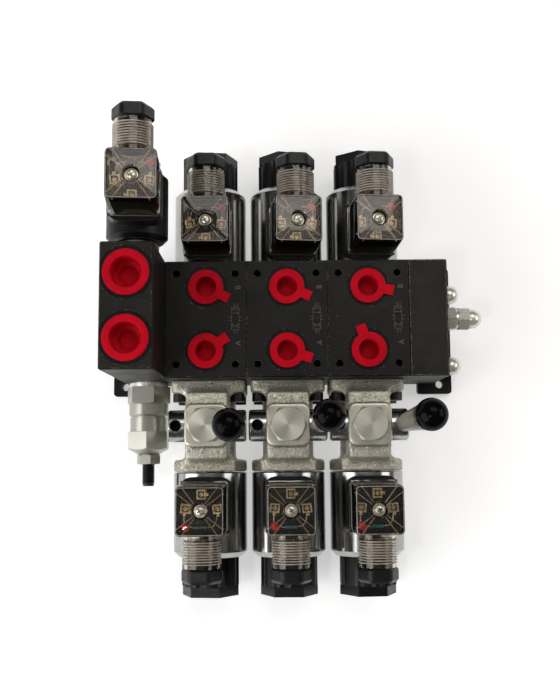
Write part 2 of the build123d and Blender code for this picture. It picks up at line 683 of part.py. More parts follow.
def socket_screw():
    """A socket-head screw along Z, head outward, its head's seat at zero."""
    shank = rod(HOUSING_SCREW, -HOUSING_FLANGE - HOUSING_SCREW_DEPTH, 0)
    screw = shank + rod(HOUSING_SCREW_HEAD, 0, HOUSING_SCREW)
    return screw - hexagon(HEX_SOCKET, HOUSING_SCREW - HEX_SOCKET_DEPTH, HOUSING_SCREW)


def lever_axis(index):
    return Pos(SECTIONS[index], -LEVER_OFFSET, SHAFT_HEIGHT)


def lever_lean(index):
    return Rot(LEVER_LEANS[index], 0, 0)


def lever_shaft(index):
    """The cross shaft, waisted under the plug, with a tapped hole at each end."""
    half, waist = SHAFT_LENGTH / 2, SHAFT_WAIST_LENGTH / 2
    edge = SHAFT - 2 * SHAFT_CHAMFER
    bar = turned((edge, -half), (SHAFT, -half + SHAFT_CHAMFER), (SHAFT, -waist), (SHAFT_WAIST, -waist),
                 (SHAFT_WAIST, waist), (SHAFT, waist), (SHAFT, half - SHAFT_CHAMFER), (edge, half))
    bar = along_x(bar)
    hole = rod(LEVER_SOCKET, SHAFT / 2 - LEVER_SOCKET_DEPTH, SHAFT)
    bar -= Pos(-LEVER_SOCKET_OFFSET, 0, 0) * hole
    bar -= lever_lean(index) * Pos(LEVER_SOCKET_OFFSET, 0, 0) * hole
    bar -= rod(FINGER + 2 * SCREW_CLEARANCE, -SHAFT, SHAFT)
    return lever_axis(index) * bar


def lever_finger(index):
    """The stud through the shaft's waist whose ball end moves the spool."""
    ball = FINGER_BALL_RISE - SHAFT_RISE
    neck = ball + FINGER_NECK_LENGTH
    top = SHAFT_WAIST / 2 - FINGER_TOP_GAP
    stud = turned((FINGER_NECK, ball), (FINGER_NECK, neck), (FINGER, neck + FINGER_TAPER), (FINGER, top))
    return lever_axis(index) * (stud + Pos(0, 0, ball) * Sphere(FINGER_BALL / 2))


def handle_place(index):
    lean = lever_lean(index) * Pos(LEVER_SOCKET_OFFSET, 0, 0) * Rot(0, LEVER_TIPS[index], 0)
    return lever_axis(index) * lean


def lever_handle(index):
    """The lever rod: a stud in the shaft, then a long taper widening towards the knob."""
    surface = SHAFT / 2
    top = KNOB_DISTANCE - KNOB / 2 + KNOB_FLAT
    root = LEVER_SOCKET - 2 * SCREW_CLEARANCE
    bar = turned((root, surface - LEVER_SOCKET_DEPTH + STUD_END_GAP), (root, surface),
                 (STUD, surface + STUD_TAPER), (STUD, HANDLE_START),
                 (HANDLE_LOW, HANDLE_START + HANDLE_SHOULDER), (HANDLE_HIGH, top - HANDLE_END_TAPER),
                 (HANDLE_LOW, top), (KNOB_STUD, top), (KNOB_STUD, top + KNOB_STUD_LENGTH))
    return handle_place(index) * bar


def lever_knob(index):
    ball = Pos(0, 0, KNOB_DISTANCE) * Sphere(KNOB / 2)
    base = KNOB_DISTANCE - KNOB / 2
    ball -= rod(KNOB, base - OVERCUT, base + KNOB_FLAT)
    ball -= rod(KNOB_STUD + 2 * SCREW_CLEARANCE, base, base + KNOB_FLAT + KNOB_HOLE_DEPTH)
    return handle_place(index) * ball


def spool(x):
    """A spool from the upper tube to the lower one, grooved at its ports and finger."""
    outer = SPOOL - 2 * RUNNING_FIT
    upper = BLOCK_SIDE - SPOOL_INSET
    lower = -HOUSING_END + SPOOL_INSET
    gap = FINGER_BALL / 2 + FINGER_GROOVE_FIT
    marks = [(outer, lower), (outer, -LEVER_OFFSET - gap), (FINGER_GROOVE_ROOT, -LEVER_OFFSET - gap),
             (FINGER_GROOVE_ROOT, -LEVER_OFFSET + gap), (outer, -LEVER_OFFSET + gap)]
    for low, high in ((-LAND_END, -LAND_OUTER), (-LAND_INNER, LAND_INNER), (LAND_OUTER, LAND_END)):
        marks += [(outer, low), (SPOOL_GROOVE, low), (SPOOL_GROOVE, high), (outer, high)]
    marks.append((outer, upper))
    return outward(turned(*marks), x, SPOOL_HEIGHT, 1, 0)


def solenoid_ends():
    """Each solenoid as (section, side, X, start from the middle, turn about its axis)."""
    ends = []
    for index, x in enumerate(SECTIONS):
        low, high = CONNECTOR_TURNS[index]
        ends.append((index, -1, x, HOUSING_END, low))
        ends.append((index, 1, x, BLOCK_SIDE, high))
    return ends


def solenoid_tube():
    """The armature tube: a nose, a pole piece with a pin hole, and a closed chamber."""
    inner = POLE_START + POLE_LENGTH
    tube = rod(TUBE, -TUBE_NOSE, TUBE_LENGTH)
    tube -= rod(TUBE_BORE, -TUBE_NOSE, POLE_START)
    tube -= rod(PIN_HOLE, POLE_START, inner)
    return tube - rod(TUBE_BORE, inner, TUBE_LENGTH - TUBE_END_WALL)


def armature():
    start = POLE_START + POLE_LENGTH + ARMATURE_GAP
    pin = rod(PIN, -SPOOL_INSET, start)
    return pin + rod(ARMATURE, start, start + ARMATURE_LENGTH)


def centring_spring():
    return coil_spring(SPRING, SPRING_WIRE, -SPOOL_INSET, POLE_START, SPRING_TURNS)


def coil_can():
    """The steel jacket with its winding: a thick ring with a bevelled outer end."""
    end = COIL_GAP + COIL_LENGTH
    face = COIL - 2 * COIL_BEVEL
    can = turned((COIL - 2 * COIL_LIP, COIL_GAP), (COIL, COIL_GAP + COIL_LIP), (COIL, end - COIL_BEVEL),
                 (face, end))
    return can - rod(TUBE + 4 * TUBE_FIT, 0, end)


def terminal_boss(coil_diameter, start):
    """The moulded boss that stands out of the coil under the connector."""
    outline = RectangleRounded(TERMINAL_WIDTH, TERMINAL_LENGTH, TERMINAL_CORNER)
    pad = Pos(0, start + TERMINAL_LENGTH / 2, 0) * extrude(outline, TERMINAL_HEIGHT)
    low, high = start - OVERCUT, start + TERMINAL_LENGTH + OVERCUT
    core = Rot(-90, 0, 0) * rod(coil_diameter + TERMINAL_FIT, low, high)
    return pad - core


def coil_nut():
    """The moulded nut on the tube: a grooved round grip, then a hexagon end."""
    start = COIL_GAP + COIL_LENGTH
    end = start + COIL_NUT_LENGTH
    grip_end = start + COIL_NUT_ROUND_LENGTH
    crest, groove = COIL_NUT_ROUND / 2, COIL_NUT_ROUND / 2 - COIL_NUT_GRIP
    step = 360 / COIL_NUT_GRIPS
    middle = step / 2
    corners = [(crest, -COIL_NUT_CREST / 2), (crest, COIL_NUT_CREST / 2),
               (groove, middle - COIL_NUT_GROOVE / 2), (groove, middle + COIL_NUT_GROOVE / 2)]
    outline = [Vector(radius, 0).rotate(Axis.Z, turn + step * index)
               for index in range(COIL_NUT_GRIPS) for radius, turn in corners]
    grip = Pos(0, 0, start) * extrude(make_face(Polyline(*outline, close=True)), COIL_NUT_ROUND_LENGTH)
    nut = grip + hexagon(COIL_NUT_FLATS, grip_end, end, COIL_NUT_TURN)
    return nut - rod(TUBE + 2 * TUBE_FIT, start, start + COIL_NUT_DEPTH)


def connector_place(shift):
    """Middle of the connector's front face, along the coil."""
    return shift + (CONNECTOR_START + CONNECTOR_END) / 2


def connector_housing(shift):
    """The clear cover: a hollow box, sloped on one side, with a well and a round spigot."""
    base = TERMINAL_HEIGHT + CONNECTOR_GASKET
    middle = connector_place(shift)
    wall = CONNECTOR_WALL

    def shape(inset, low, high):
        base_length = CONNECTOR_END - CONNECTOR_BASE_START
        top_length = CONNECTOR_END - CONNECTOR_START
        bottom = Rectangle(CONNECTOR_BASE_WIDTH - 2 * inset, base_length - 2 * inset)
        top = Rectangle(CONNECTOR_WIDTH - 2 * inset, top_length - 2 * inset)
        low_y = shift + (CONNECTOR_END + CONNECTOR_BASE_START) / 2
        sections = [Pos(0, low_y, low) * bottom, Pos(0, middle, high) * top]
        return loft(sections)

    cover = shape(0, base, CONNECTOR_HEIGHT)
    uprights = [edge for edge in cover.edges() if abs((edge @ 0).Z - (edge @ 1).Z) > wall]
    cover = fillet(uprights, CONNECTOR_CORNER)
    spigot = Pos(0, 0, SPIGOT_HEIGHT) * Rot(-90, 0, 0)
    start = shift + CONNECTOR_END
    cover += spigot * rod(SPIGOT, start - wall, start + SPIGOT_LENGTH)
    cover -= shape(wall, base, CONNECTOR_HEIGHT - wall)
    cover -= spigot * rod(SPIGOT_BORE, start - 2 * wall, start + SPIGOT_LENGTH)
    well = Pos(0, middle, CONNECTOR_HEIGHT - CONNECTOR_WELL_DEPTH)
    cover += well * rod(CONNECTOR_WELL + 2 * CONNECTOR_WELL_WALL, 0, CONNECTOR_WELL_DEPTH)
    floor = CONNECTOR_SCREW_SINK + CONNECTOR_SCREW_HEAD_HEIGHT
    place = Pos(0, middle, 0)
    cover -= place * rod(CONNECTOR_WELL, CONNECTOR_HEIGHT - floor, CONNECTOR_HEIGHT)
    return cover - place * rod(CONNECTOR_SCREW_HOLE, base, CONNECTOR_HEIGHT)


def connector_insert(shift):
    """The dark terminal carrier inside the cover, with a raised middle block."""
    base = TERMINAL_HEIGHT + CONNECTOR_GASKET
    middle = connector_place(shift)
    half = INSERT_WIDTH / 2
    plate = block((-half, half), (middle - half, middle + half), (base, base + INSERT_HEIGHT / 2))
    half = INSERT_BLOCK_WIDTH / 2
    plate += block((-half, half), (middle - half, middle + half), (base, base + INSERT_HEIGHT))
    return plate - Pos(0, middle, 0) * rod(CONNECTOR_SCREW_HOLE, base, base + INSERT_HEIGHT)


def connector_gasket(shift):
    half = CONNECTOR_BASE_WIDTH / 2
    low, high = TERMINAL_HEIGHT, TERMINAL_HEIGHT + CONNECTOR_GASKET
    pad = block((-half, half), (shift + CONNECTOR_BASE_START, shift + CONNECTOR_END), (low, high))
    return pad - Pos(0, connector_place(shift), 0) * rod(CONNECTOR_SCREW_HOLE, low, high)


def connector_screw(shift):
    top = CONNECTOR_HEIGHT - CONNECTOR_SCREW_SINK
    under = top - CONNECTOR_SCREW_HEAD_HEIGHT
    shank, head, edge = CONNECTOR_SCREW, CONNECTOR_SCREW_HEAD, CONNECTOR_SCREW_CHAMFER
    screw = turned((shank, TERMINAL_HEIGHT), (shank, under), (head, under), (head, top - edge),
                   (head - 2 * edge, top))
    return Pos(0, connector_place(shift), 0) * screw


def gland_nut(shift):
    """The hexagon nut that screws into the spigot and closes round the cable."""
    start = shift + CONNECTOR_END + SPIGOT_LENGTH
    nut = hexagon(GLAND_FLATS, start, start + GLAND_LENGTH)
    nut += rod(SPIGOT_BORE - 2 * SCREW_CLEARANCE, start - GLAND_STUB, start)
    nut -= rod(CABLE_ENTRY, start - GLAND_STUB, start + GLAND_LENGTH)
    return Pos(0, 0, SPIGOT_HEIGHT) * Rot(-90, 0, 0) * nut


def unloader_cartridge():
    """The unloader's cartridge: threaded nose, hexagon and the tube for its coil."""
    coil_end = UNLOADER_HEX_LENGTH + COIL_GAP + UNLOADER_COIL_LENGTH
    body = rod(UNLOADER_NOSE, -UNLOADER_NOSE_LENGTH, 0)
    body += rounded_hexagon(UNLOADER_FLATS, 0, UNLOADER_HEX_LENGTH, UNLOADER_HEX_TURN)
    tube_end = coil_end + UNLOADER_NUT_LENGTH - UNLOADER_NUT_CHAMFER
    body += rod(UNLOADER_TUBE, UNLOADER_HEX_LENGTH, tube_end)
    body -= rod(BLEED_DRILL, -UNLOADER_NOSE_LENGTH, 0)
    return body - rod(UNLOADER_TUBE_BORE, 0, unloader_spring_start() + UNLOADER_SPRING_LENGTH)


def unloader_coil():
    """The unloader's moulded coil, its rounded ends and terminal boss in one."""
    start = UNLOADER_HEX_LENGTH + COIL_GAP
    end = start + UNLOADER_COIL_LENGTH
    edge = UNLOADER_COIL - 2 * UNLOADER_COIL_EDGE
    body = turned((edge, start), (UNLOADER_COIL, start + UNLOADER_COIL_EDGE),
                  (UNLOADER_COIL, end - UNLOADER_COIL_EDGE), (edge, end))
    body = Rot(-90, 0, 0) * body
    outline = RectangleRounded(TERMINAL_WIDTH, TERMINAL_LENGTH, TERMINAL_CORNER)
    pad_start = start + UNLOADER_CONNECTOR_SHIFT + TERMINAL_START
    body += Pos(0, pad_start + TERMINAL_LENGTH / 2, 0) * extrude(outline, TERMINAL_HEIGHT)
    return body - Rot(-90, 0, 0) * rod(UNLOADER_TUBE + 4 * TUBE_FIT, 0, end)


def unloader_nut():
    start = UNLOADER_HEX_LENGTH + COIL_GAP + UNLOADER_COIL_LENGTH
    end = start + UNLOADER_NUT_LENGTH
    edge = UNLOADER_NUT - 2 * UNLOADER_NUT_CHAMFER
    nut = turned((UNLOADER_NUT, start), (UNLOADER_NUT, end - UNLOADER_NUT_CHAMFER), (edge, end))
    return nut - rod(UNLOADER_TUBE + 2 * TUBE_FIT, start, end)


def unloader_spring_start():
    return UNLOADER_REST + UNLOADER_ARMATURE_LENGTH


def unloader_armature():
    """The armature with the needle that closes the way between the two main drills."""
    tip = -BLOCK_SIDE + MAIN_PORT_OFFSET - MAIN_DRILL / 2
    start = UNLOADER_REST
    stem = BLEED_DRILL - NEEDLE_SLACK
    needle = turned((NEEDLE_POINT, tip + NEEDLE_END_GAP), (stem, tip + NEEDLE_TAPER), (stem, start))
    return needle + rod(UNLOADER_ARMATURE, start, unloader_spring_start())


def unloader_spring():
    start = unloader_spring_start()
    end = start + UNLOADER_SPRING_LENGTH
    return coil_spring(UNLOADER_SPRING, UNLOADER_SPRING_WIRE, start, end, SPRING_TURNS)


def relief_body():
    """The relief valve's body: nose with its seat, hexagon and round collar."""
    hex_start = RELIEF_WASHER_THICKNESS
    body = rod(RELIEF_CAVITY - 2 * SCREW_CLEARANCE, -RELIEF_NOSE_LENGTH, hex_start)
    body += rounded_hexagon(RELIEF_FLATS, hex_start, RELIEF_HEX_END, RELIEF_HEX_TURN)
    bevel = RELIEF_COLLAR_END - RELIEF_COLLAR_BEVEL
    body += rod(RELIEF_COLLAR, RELIEF_HEX_END, bevel)
    body += turned((RELIEF_COLLAR, bevel), (RELIEF_COLLAR_EDGE, RELIEF_COLLAR_END))
    seat = -RELIEF_NOSE_LENGTH + RELIEF_SEAT_WALL
    body -= rod(RELIEF_SEAT_BORE, -RELIEF_NOSE_LENGTH, seat)
    return body - rod(RELIEF_BORE, seat, RELIEF_COLLAR_END)


def relief_sleeve():
    """The outer sleeve: groove, round part, hexagon and a short taper to the lock nut."""
    start, hex_end = RELIEF_COLLAR_END, RELIEF_SLEEVE_HEX_END
    body = rod(RELIEF_GROOVE, start, start + RELIEF_GROOVE_WIDTH)
    body += rod(RELIEF_SLEEVE, start + RELIEF_GROOVE_WIDTH, RELIEF_SLEEVE_END)
    body += rounded_hexagon(RELIEF_SLEEVE_FLATS, RELIEF_SLEEVE_END, hex_end, RELIEF_SLEEVE_HEX_TURN)
    body += turned((RELIEF_SLEEVE_FLATS - RELIEF_TAPER_STEP, hex_end), (RELIEF_TAPER, RELIEF_TAPER_END))
    body -= rod(RELIEF_BORE, start, RELIEF_BORE_END)
    return body - rod(RELIEF_SCREW + 2 * SHAFT_FIT, RELIEF_BORE_END, RELIEF_TAPER_END)


def relief_lock_nut():
    hole = RELIEF_SCREW + 2 * SHAFT_FIT
    nut = plain_nut(NUT_FLATS, RELIEF_LOCK_NUT_HEIGHT, hole, RELIEF_LOCK_NUT_TURN)
    return Pos(0, 0, RELIEF_TAPER_END) * nut


def relief_screw():
    """The adjusting screw, bearing on the spring seat, with a socket in its end."""
    start = RELIEF_DISC_START + RELIEF_DISC_THICKNESS
    end = RELIEF_SCREW_END
    screw = turned((RELIEF_SCREW_POINT, start), (RELIEF_SCREW, start + RELIEF_SCREW_POINT_BEVEL),
                   (RELIEF_SCREW, end - RELIEF_SCREW_BEVEL), (RELIEF_SCREW_EDGE, end))
    return screw - hexagon(HEX_SOCKET, end - HEX_SOCKET_DEPTH, end)


def relief_seat():
    start = RELIEF_DISC_START
    disc = rod(RELIEF_DISC, start, start + RELIEF_DISC_THICKNESS)
    return disc + rod(RELIEF_PEG, start - RELIEF_PEG_LENGTH, start)


def relief_poppet():
    """The cone that closes the seat, with a spigot for the spring."""
    seat = -RELIEF_NOSE_LENGTH + RELIEF_SEAT_WALL
    top = seat + RELIEF_POPPET_LENGTH
    cone = turned((POPPET_POINT, seat - POPPET_POINT_LENGTH), (POPPET_RIM, seat), (RELIEF_SEAT_BORE, seat),
                  (RELIEF_POPPET, seat + POPPET_CONE), (RELIEF_POPPET, top))
    return cone + rod(RELIEF_PEG, top, top + RELIEF_PEG_LENGTH)


def relief_spring():
    start = -RELIEF_NOSE_LENGTH + RELIEF_SEAT_WALL + RELIEF_POPPET_LENGTH
    return coil_spring(RELIEF_SPRING, SPRING_WIRE, start, RELIEF_DISC_START, RELIEF_SPRING_TURNS)


def build_stack():
    save("inlet_block", inlet_block())
    for index, x in enumerate(SECTIONS):
        save(f"section_body_{index + 1}", section_body(x))
    save("end_plate", end_plate())
    save("mounting_feet", foot(-1), foot(1))
    places = foot_screw_places(foot_screw_line(-1)) + foot_screw_places(foot_screw_line(1))
    save("foot_screws", *[Pos(x, y, 0) * foot_screw() for x, y in places])
    save("tie_rods", *[tie_rod(y, z) for y, z in TIE_RODS])
    washers, nuts = tie_rod_hardware()
    washer = ring(RELIEF_WASHER, RELIEF_CAVITY, RELIEF_WASHER_THICKNESS)
    washers.append(outward(washer, INLET_MIDDLE, SPOOL_HEIGHT, -1, BLOCK_SIDE))
    save("washers", *washers)
    save("tie_rod_nuts", *nuts)
    save("section_seals", *section_seals())


def build_caps():
    plug = Pos(0, 0, INLET_TOP - SPOTFACE_DEPTH) * main_port_plug()
    places = [Pos(INLET_MIDDLE, side * MAIN_PORT_OFFSET, 0) for side in (-1, 1)]
    save("main_port_plugs", *[place * plug for place in places])
    caps = []
    for x, turns in zip(SECTIONS, CAP_TAB_TURNS):
        for side, turn in zip((-1, 1), turns):
            place = Pos(x, side * WORK_PORT_OFFSET, PORT_FACE - SPOTFACE_DEPTH)
            caps.append(place * work_port_cap(turn))
    save("work_port_caps", *caps)


def build_levers():
    plug, screws = housing_plug(), []
    for index, x in enumerate(SECTIONS):
        number = index + 1
        save(f"lever_housing_{number}", lever_housing(x))
        save(f"lever_shaft_{number}", lever_shaft(index))
        save(f"lever_finger_{number}", lever_finger(index))
        save(f"lever_handle_{number}", lever_handle(index))
        save(f"lever_knob_{number}", lever_knob(index))
        save(f"spool_{number}", spool(x))
        for dx, z in housing_screw_places():
            screws.append(outward(socket_screw(), x + dx, z, -1, BLOCK_SIDE + HOUSING_FLANGE))
    save("housing_plugs", *[Pos(x, -LEVER_OFFSET, 0) * plug for x in SECTIONS])
    save("housing_screws", *screws)


def build_solenoids():
    tubes, coils, bosses, nuts = [], {-1: [], 1: []}, [], []
    armatures = {index: [] for index in range(SECTION_COUNT)}
    springs = {index: [] for index in range(SECTION_COUNT)}
    for index, side, x, start, turn in solenoid_ends():
        place = (x, SPOOL_HEIGHT, side, start)
        tubes.append(outward(solenoid_tube(), *place))
        armatures[index].append(outward(armature(), *place))
        springs[index].append(outward(centring_spring(), *place))
        coils[side].append(outward(coil_can(), *place, turn))
        bosses.append(upright(terminal_boss(COIL, COIL_GAP + TERMINAL_START), *place, turn))
        nuts.append(outward(coil_nut(), *place, COIL_NUT_TURN_STEP * index))
    save("solenoid_tubes", *tubes)
    save("upper_coils", *coils[1])
    save("lower_coils", *coils[-1])
    save("coil_terminal_bosses", *bosses)
    for index in range(SECTION_COUNT):
        save(f"armatures_{index + 1}", *armatures[index])
        save(f"centring_springs_{index + 1}", *springs[index])
    place = (INLET_MIDDLE, UNLOADER_HEIGHT, 1, BLOCK_SIDE)
    save("unloader_cartridge", outward(unloader_cartridge(), *place))
    save("unloader_coil", upright(unloader_coil(), *place, UNLOADER_CONNECTOR_TURN))
    save("unloader_armature", outward(unloader_armature(), *place))
    save("unloader_spring", outward(unloader_spring(), *place))
    save("coil_nuts", *nuts, outward(unloader_nut(), *place))


def build_connectors():
    """Seven connectors of one kind, six on the coils and one on the unloader."""
    places = []
    for _, side, x, start, turn in solenoid_ends():
        places.append((COIL_GAP, (x, SPOOL_HEIGHT, side, start, turn)))
    shift = UNLOADER_HEX_LENGTH + COIL_GAP + UNLOADER_CONNECTOR_SHIFT
    places.append((shift, (INLET_MIDDLE, UNLOADER_HEIGHT, 1, BLOCK_SIDE, UNLOADER_CONNECTOR_TURN)))
    kinds = {
        "connector_housings": connector_housing,
        "connector_inserts": connector_insert,
        "connector_gaskets": connector_gasket,
        "connector_screws": connector_screw,
        "gland_nuts": gland_nut,
    }
    for name, make in kinds.items():
        save(name, *[upright(make(shift), *place) for shift, place in places])


def build_relief_valve():
    place = (INLET_MIDDLE, SPOOL_HEIGHT, -1, BLOCK_SIDE)
    save("relief_body", outward(relief_body(), *place))
    save("relief_sleeve", outward(relief_sleeve(), *place))
    save("relief_lock_nut", outward(relief_lock_nut(), *place))
    save("relief_screw", outward(relief_screw(), *place))
    save("relief_seat", outward(relief_seat(), *place))
    save("relief_spring", outward(relief_spring(), *place))
    save("relief_poppet", outward(relief_poppet(), *place))


os.makedirs("parts", exist_ok=True)
build_stack()
build_caps()
build_levers()
build_solenoids()
build_connectors()
build_relief_valve()
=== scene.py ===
import math

import bmesh
import bpy
from mathutils import Matrix, Vector, noise


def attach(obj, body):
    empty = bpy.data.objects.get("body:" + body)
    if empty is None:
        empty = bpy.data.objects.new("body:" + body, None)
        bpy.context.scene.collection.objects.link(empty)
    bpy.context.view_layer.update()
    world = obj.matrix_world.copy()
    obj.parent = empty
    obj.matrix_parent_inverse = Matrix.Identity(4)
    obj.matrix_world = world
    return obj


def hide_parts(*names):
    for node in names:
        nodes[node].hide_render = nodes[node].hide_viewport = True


# The looks of the sectional directional control valve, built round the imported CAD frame.
# Sizes are in millimetres and turned into metres by MM. X runs along the stack,
# Y along the spools and Z up from the feet, as in the CAD.
MM = 0.001
BODY = "valve"

# Camera, from the photograph's view. The image's height and focal length are in pixels
IMAGE_HEIGHT = 700
FOCAL_PIXELS = 928.4
CAMERA_PLACE = (-0.13, -84.43, 606.9)
CAMERA_TILT = -0.1206
CAMERA_YAW = -0.0023
CAMERA_ROLL = 0.0089
SENSOR = 36.0

# Stack
SECTIONS = (-45.0, 3.0, 51.0)
SECTION_PITCH = 48.0
PORT_FACE = 66.0
INLET_TOP = 118.5
SPOTFACE_DEPTH = 0.4
BLOCK_SIDE = 34.75
SPOOL_HEIGHT = 28.0
HOUSING_END = 89.45
LEVER_OFFSET = 62.5
SHAFT_HEIGHT = 53.0
LEVER_SOCKET_OFFSET = 18.0
INLET_MIDDLE = -83.5
MAIN_PORT_OFFSET = 17.8
UNLOADER_HEIGHT = 81.0

# Connectors, in their own frame: Y outward along the coil, Z up from the coil's axis
COIL_GAP = 0.5
UNLOADER_SHIFT = 11.3
UNLOADER_TURN = 5.0
CONNECTOR_TURNS = ((-2.5, 0.6), (1.4, 7.9), (3.1, 7.0))
COVER_BASE = 28.2
COVER_TOP = 53.7
COVER_WIDTH = 27.6
COVER_BASE_WIDTH = 28.7
COVER_START = 7.5
COVER_BASE_START = 4.9
COVER_END = 35.2
COVER_WALL = 1.5
COVER_CORNER = 2.6
COVER_FOOT = 0.8
COVER_ROUND = 0.9
RIB_SPREAD = 0.13
RIB_START = 0.7
RIB_HALF = 0.2
RIB_LENGTH = 11.2
RIB_DEPTH = 2.4
WELL = 8.4
WELL_WALL = 0.8
WELL_FLOOR = 46.7
WELL_FLOOR_WALL = 1.2
SCREW_HOLE = 1.7
SCREW_SEAT = WELL_FLOOR + 2.0
WASHER = 0.8
CARRIER_TOP = 38.0
CONTACT_BASE = 40.4
CONTACTS = ((-8.9, -1.0, 0.12), (8.9, -1.2, -0.12), (0.0, -8.9, math.pi / 2))
LAMP_PLACE = (10.4, 7.4, 43.0)
LAMP_TURN = 0.8
RESISTOR_PLACE = (0.0, 9.2, 42.8)
SPIGOT_HEIGHT = 40.9
SPIGOT = 22.4
SPIGOT_BORE = 17.0
SPIGOT_LENGTH = 18.5
SPIGOT_SIDES = 56
THREAD_PITCH = 1.5
THREAD_DEPTH = 0.85
GLAND_FLATS = 20.4
GLAND_LENGTH = 8.3
GLAND_REACH = 5.9
CABLE_ENTRY = 8.0

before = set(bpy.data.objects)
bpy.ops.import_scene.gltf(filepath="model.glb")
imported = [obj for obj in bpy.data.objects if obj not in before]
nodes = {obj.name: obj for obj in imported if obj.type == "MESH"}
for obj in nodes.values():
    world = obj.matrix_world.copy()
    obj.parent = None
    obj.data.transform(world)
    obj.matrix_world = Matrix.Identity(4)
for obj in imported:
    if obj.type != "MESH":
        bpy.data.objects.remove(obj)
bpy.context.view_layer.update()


# Shader building


def link(value, shader, socket):
    """Links a value to a node's socket, in the tree that holds them both."""
    shader.id_data.links.new(value, shader.inputs[socket])


def add(tree, kind, inputs=None, **settings):
    """Adds a shader node; an input is a value, or another node's socket to link from."""
    made = tree.nodes.new(f"ShaderNode{kind}")
    for name, value in settings.items():
        setattr(made, name, value)
    for name, value in (inputs or {}).items():
        if isinstance(value, bpy.types.NodeSocket):
            link(value, made, name)
        else:
            made.inputs[name].default_value = value
    return made


def new_material(name, **sockets):
    """A material with its principled shader's sockets set."""
    material = bpy.data.materials.new(name)
    material.use_nodes = True
    shader = material.node_tree.nodes["Principled BSDF"]
    for socket, value in sockets.items():
        shader.inputs[socket.replace("_", " ")].default_value = value
    return material, material.node_tree, shader


def place_of(tree):
    """The place on the object, in metres, which doesn't follow the camera."""
    return add(tree, "TexCoord").outputs["Object"]


def parts_of(tree, vector):
    """A vector's X, Y and Z, by name."""
    return add(tree, "SeparateXYZ", {"Vector": vector}).outputs


def joined(tree, **parts):
    """A vector from its X, Y or Z."""
    return add(tree, "CombineXYZ", parts).outputs["Vector"]


def stretched(tree, scale):
    """The place on the object, stretched by a scale along each axis."""
    return add(tree, "Mapping", {"Vector": place_of(tree), "Scale": scale}).outputs["Vector"]


def noise_of(tree, scale, detail=3.0, roughness=0.5, vector=None):
    inputs = {"Vector": vector or place_of(tree), "Scale": scale, "Detail": detail, "Roughness": roughness}
    return add(tree, "TexNoise", inputs).outputs["Fac"]


def ranged(tree, value, low, high, to_low=0.0, to_high=1.0):
    """Maps a value's range to another one, clamped."""
    inputs = {"Value": value, "From Min": low, "From Max": high, "To Min": to_low, "To Max": to_high}
    return add(tree, "MapRange", inputs).outputs["Result"]


def mixed(tree, factor, first, second):
    """A colour mixed by a factor; each colour is an RGB triple or a socket."""
    pair = [c if isinstance(c, bpy.types.NodeSocket) else (*c, 1.0) for c in (first, second)]
    return add(tree, "Mix", {"Factor": factor, 6: pair[0], 7: pair[1]}, data_type="RGBA").outputs[2]


def maths(tree, operation, first, second=0.0):
    return add(tree, "Math", {0: first, 1: second}, operation=operation).outputs[0]


def bump(shader, height, strength, distance, normal=None):
    """Raises a shader's surface by a height, over a distance in millimetres."""
    inputs = {"Height": height, "Strength": strength, "Distance": distance * MM}
    if normal:
        inputs["Normal"] = normal
    link(add(shader.id_data, "Bump", inputs).outputs["Normal"], shader, "Normal")


def rounded_normal(tree, radius):
    """The normal with every edge softened over a radius."""
    return add(tree, "Bevel", {"Radius": radius * MM}, samples=4).outputs["Normal"]


def edge_mask(tree, radius):
    """Near one along edges and zero on flat stretches."""
    soft = rounded_normal(tree, radius)
    plain = add(tree, "NewGeometry").outputs["Normal"]
    dot = add(tree, "VectorMath", {0: soft, 1: plain}, operation="DOT_PRODUCT").outputs["Value"]
    return ranged(tree, dot, 1.0, 0.94)


def tinted(level, tint):
    return tuple(level * share for share in tint)


def mottled(tree, pattern, first, second, between=(0.3, 0.7)):
    """A colour that drifts between two in patches, by a noise's scale, detail and roughness."""
    return mixed(tree, ranged(tree, noise_of(tree, *pattern), *between), first, second)


def uneven_shine(shader, pattern, low, high, between=(0.3, 0.7)):
    """Lets a shader's roughness drift between two levels in patches."""
    tree = shader.id_data
    link(ranged(tree, noise_of(tree, *pattern), *between, low, high), shader, "Roughness")


OXIDE_TINT = (1.0, 0.96, 0.83)


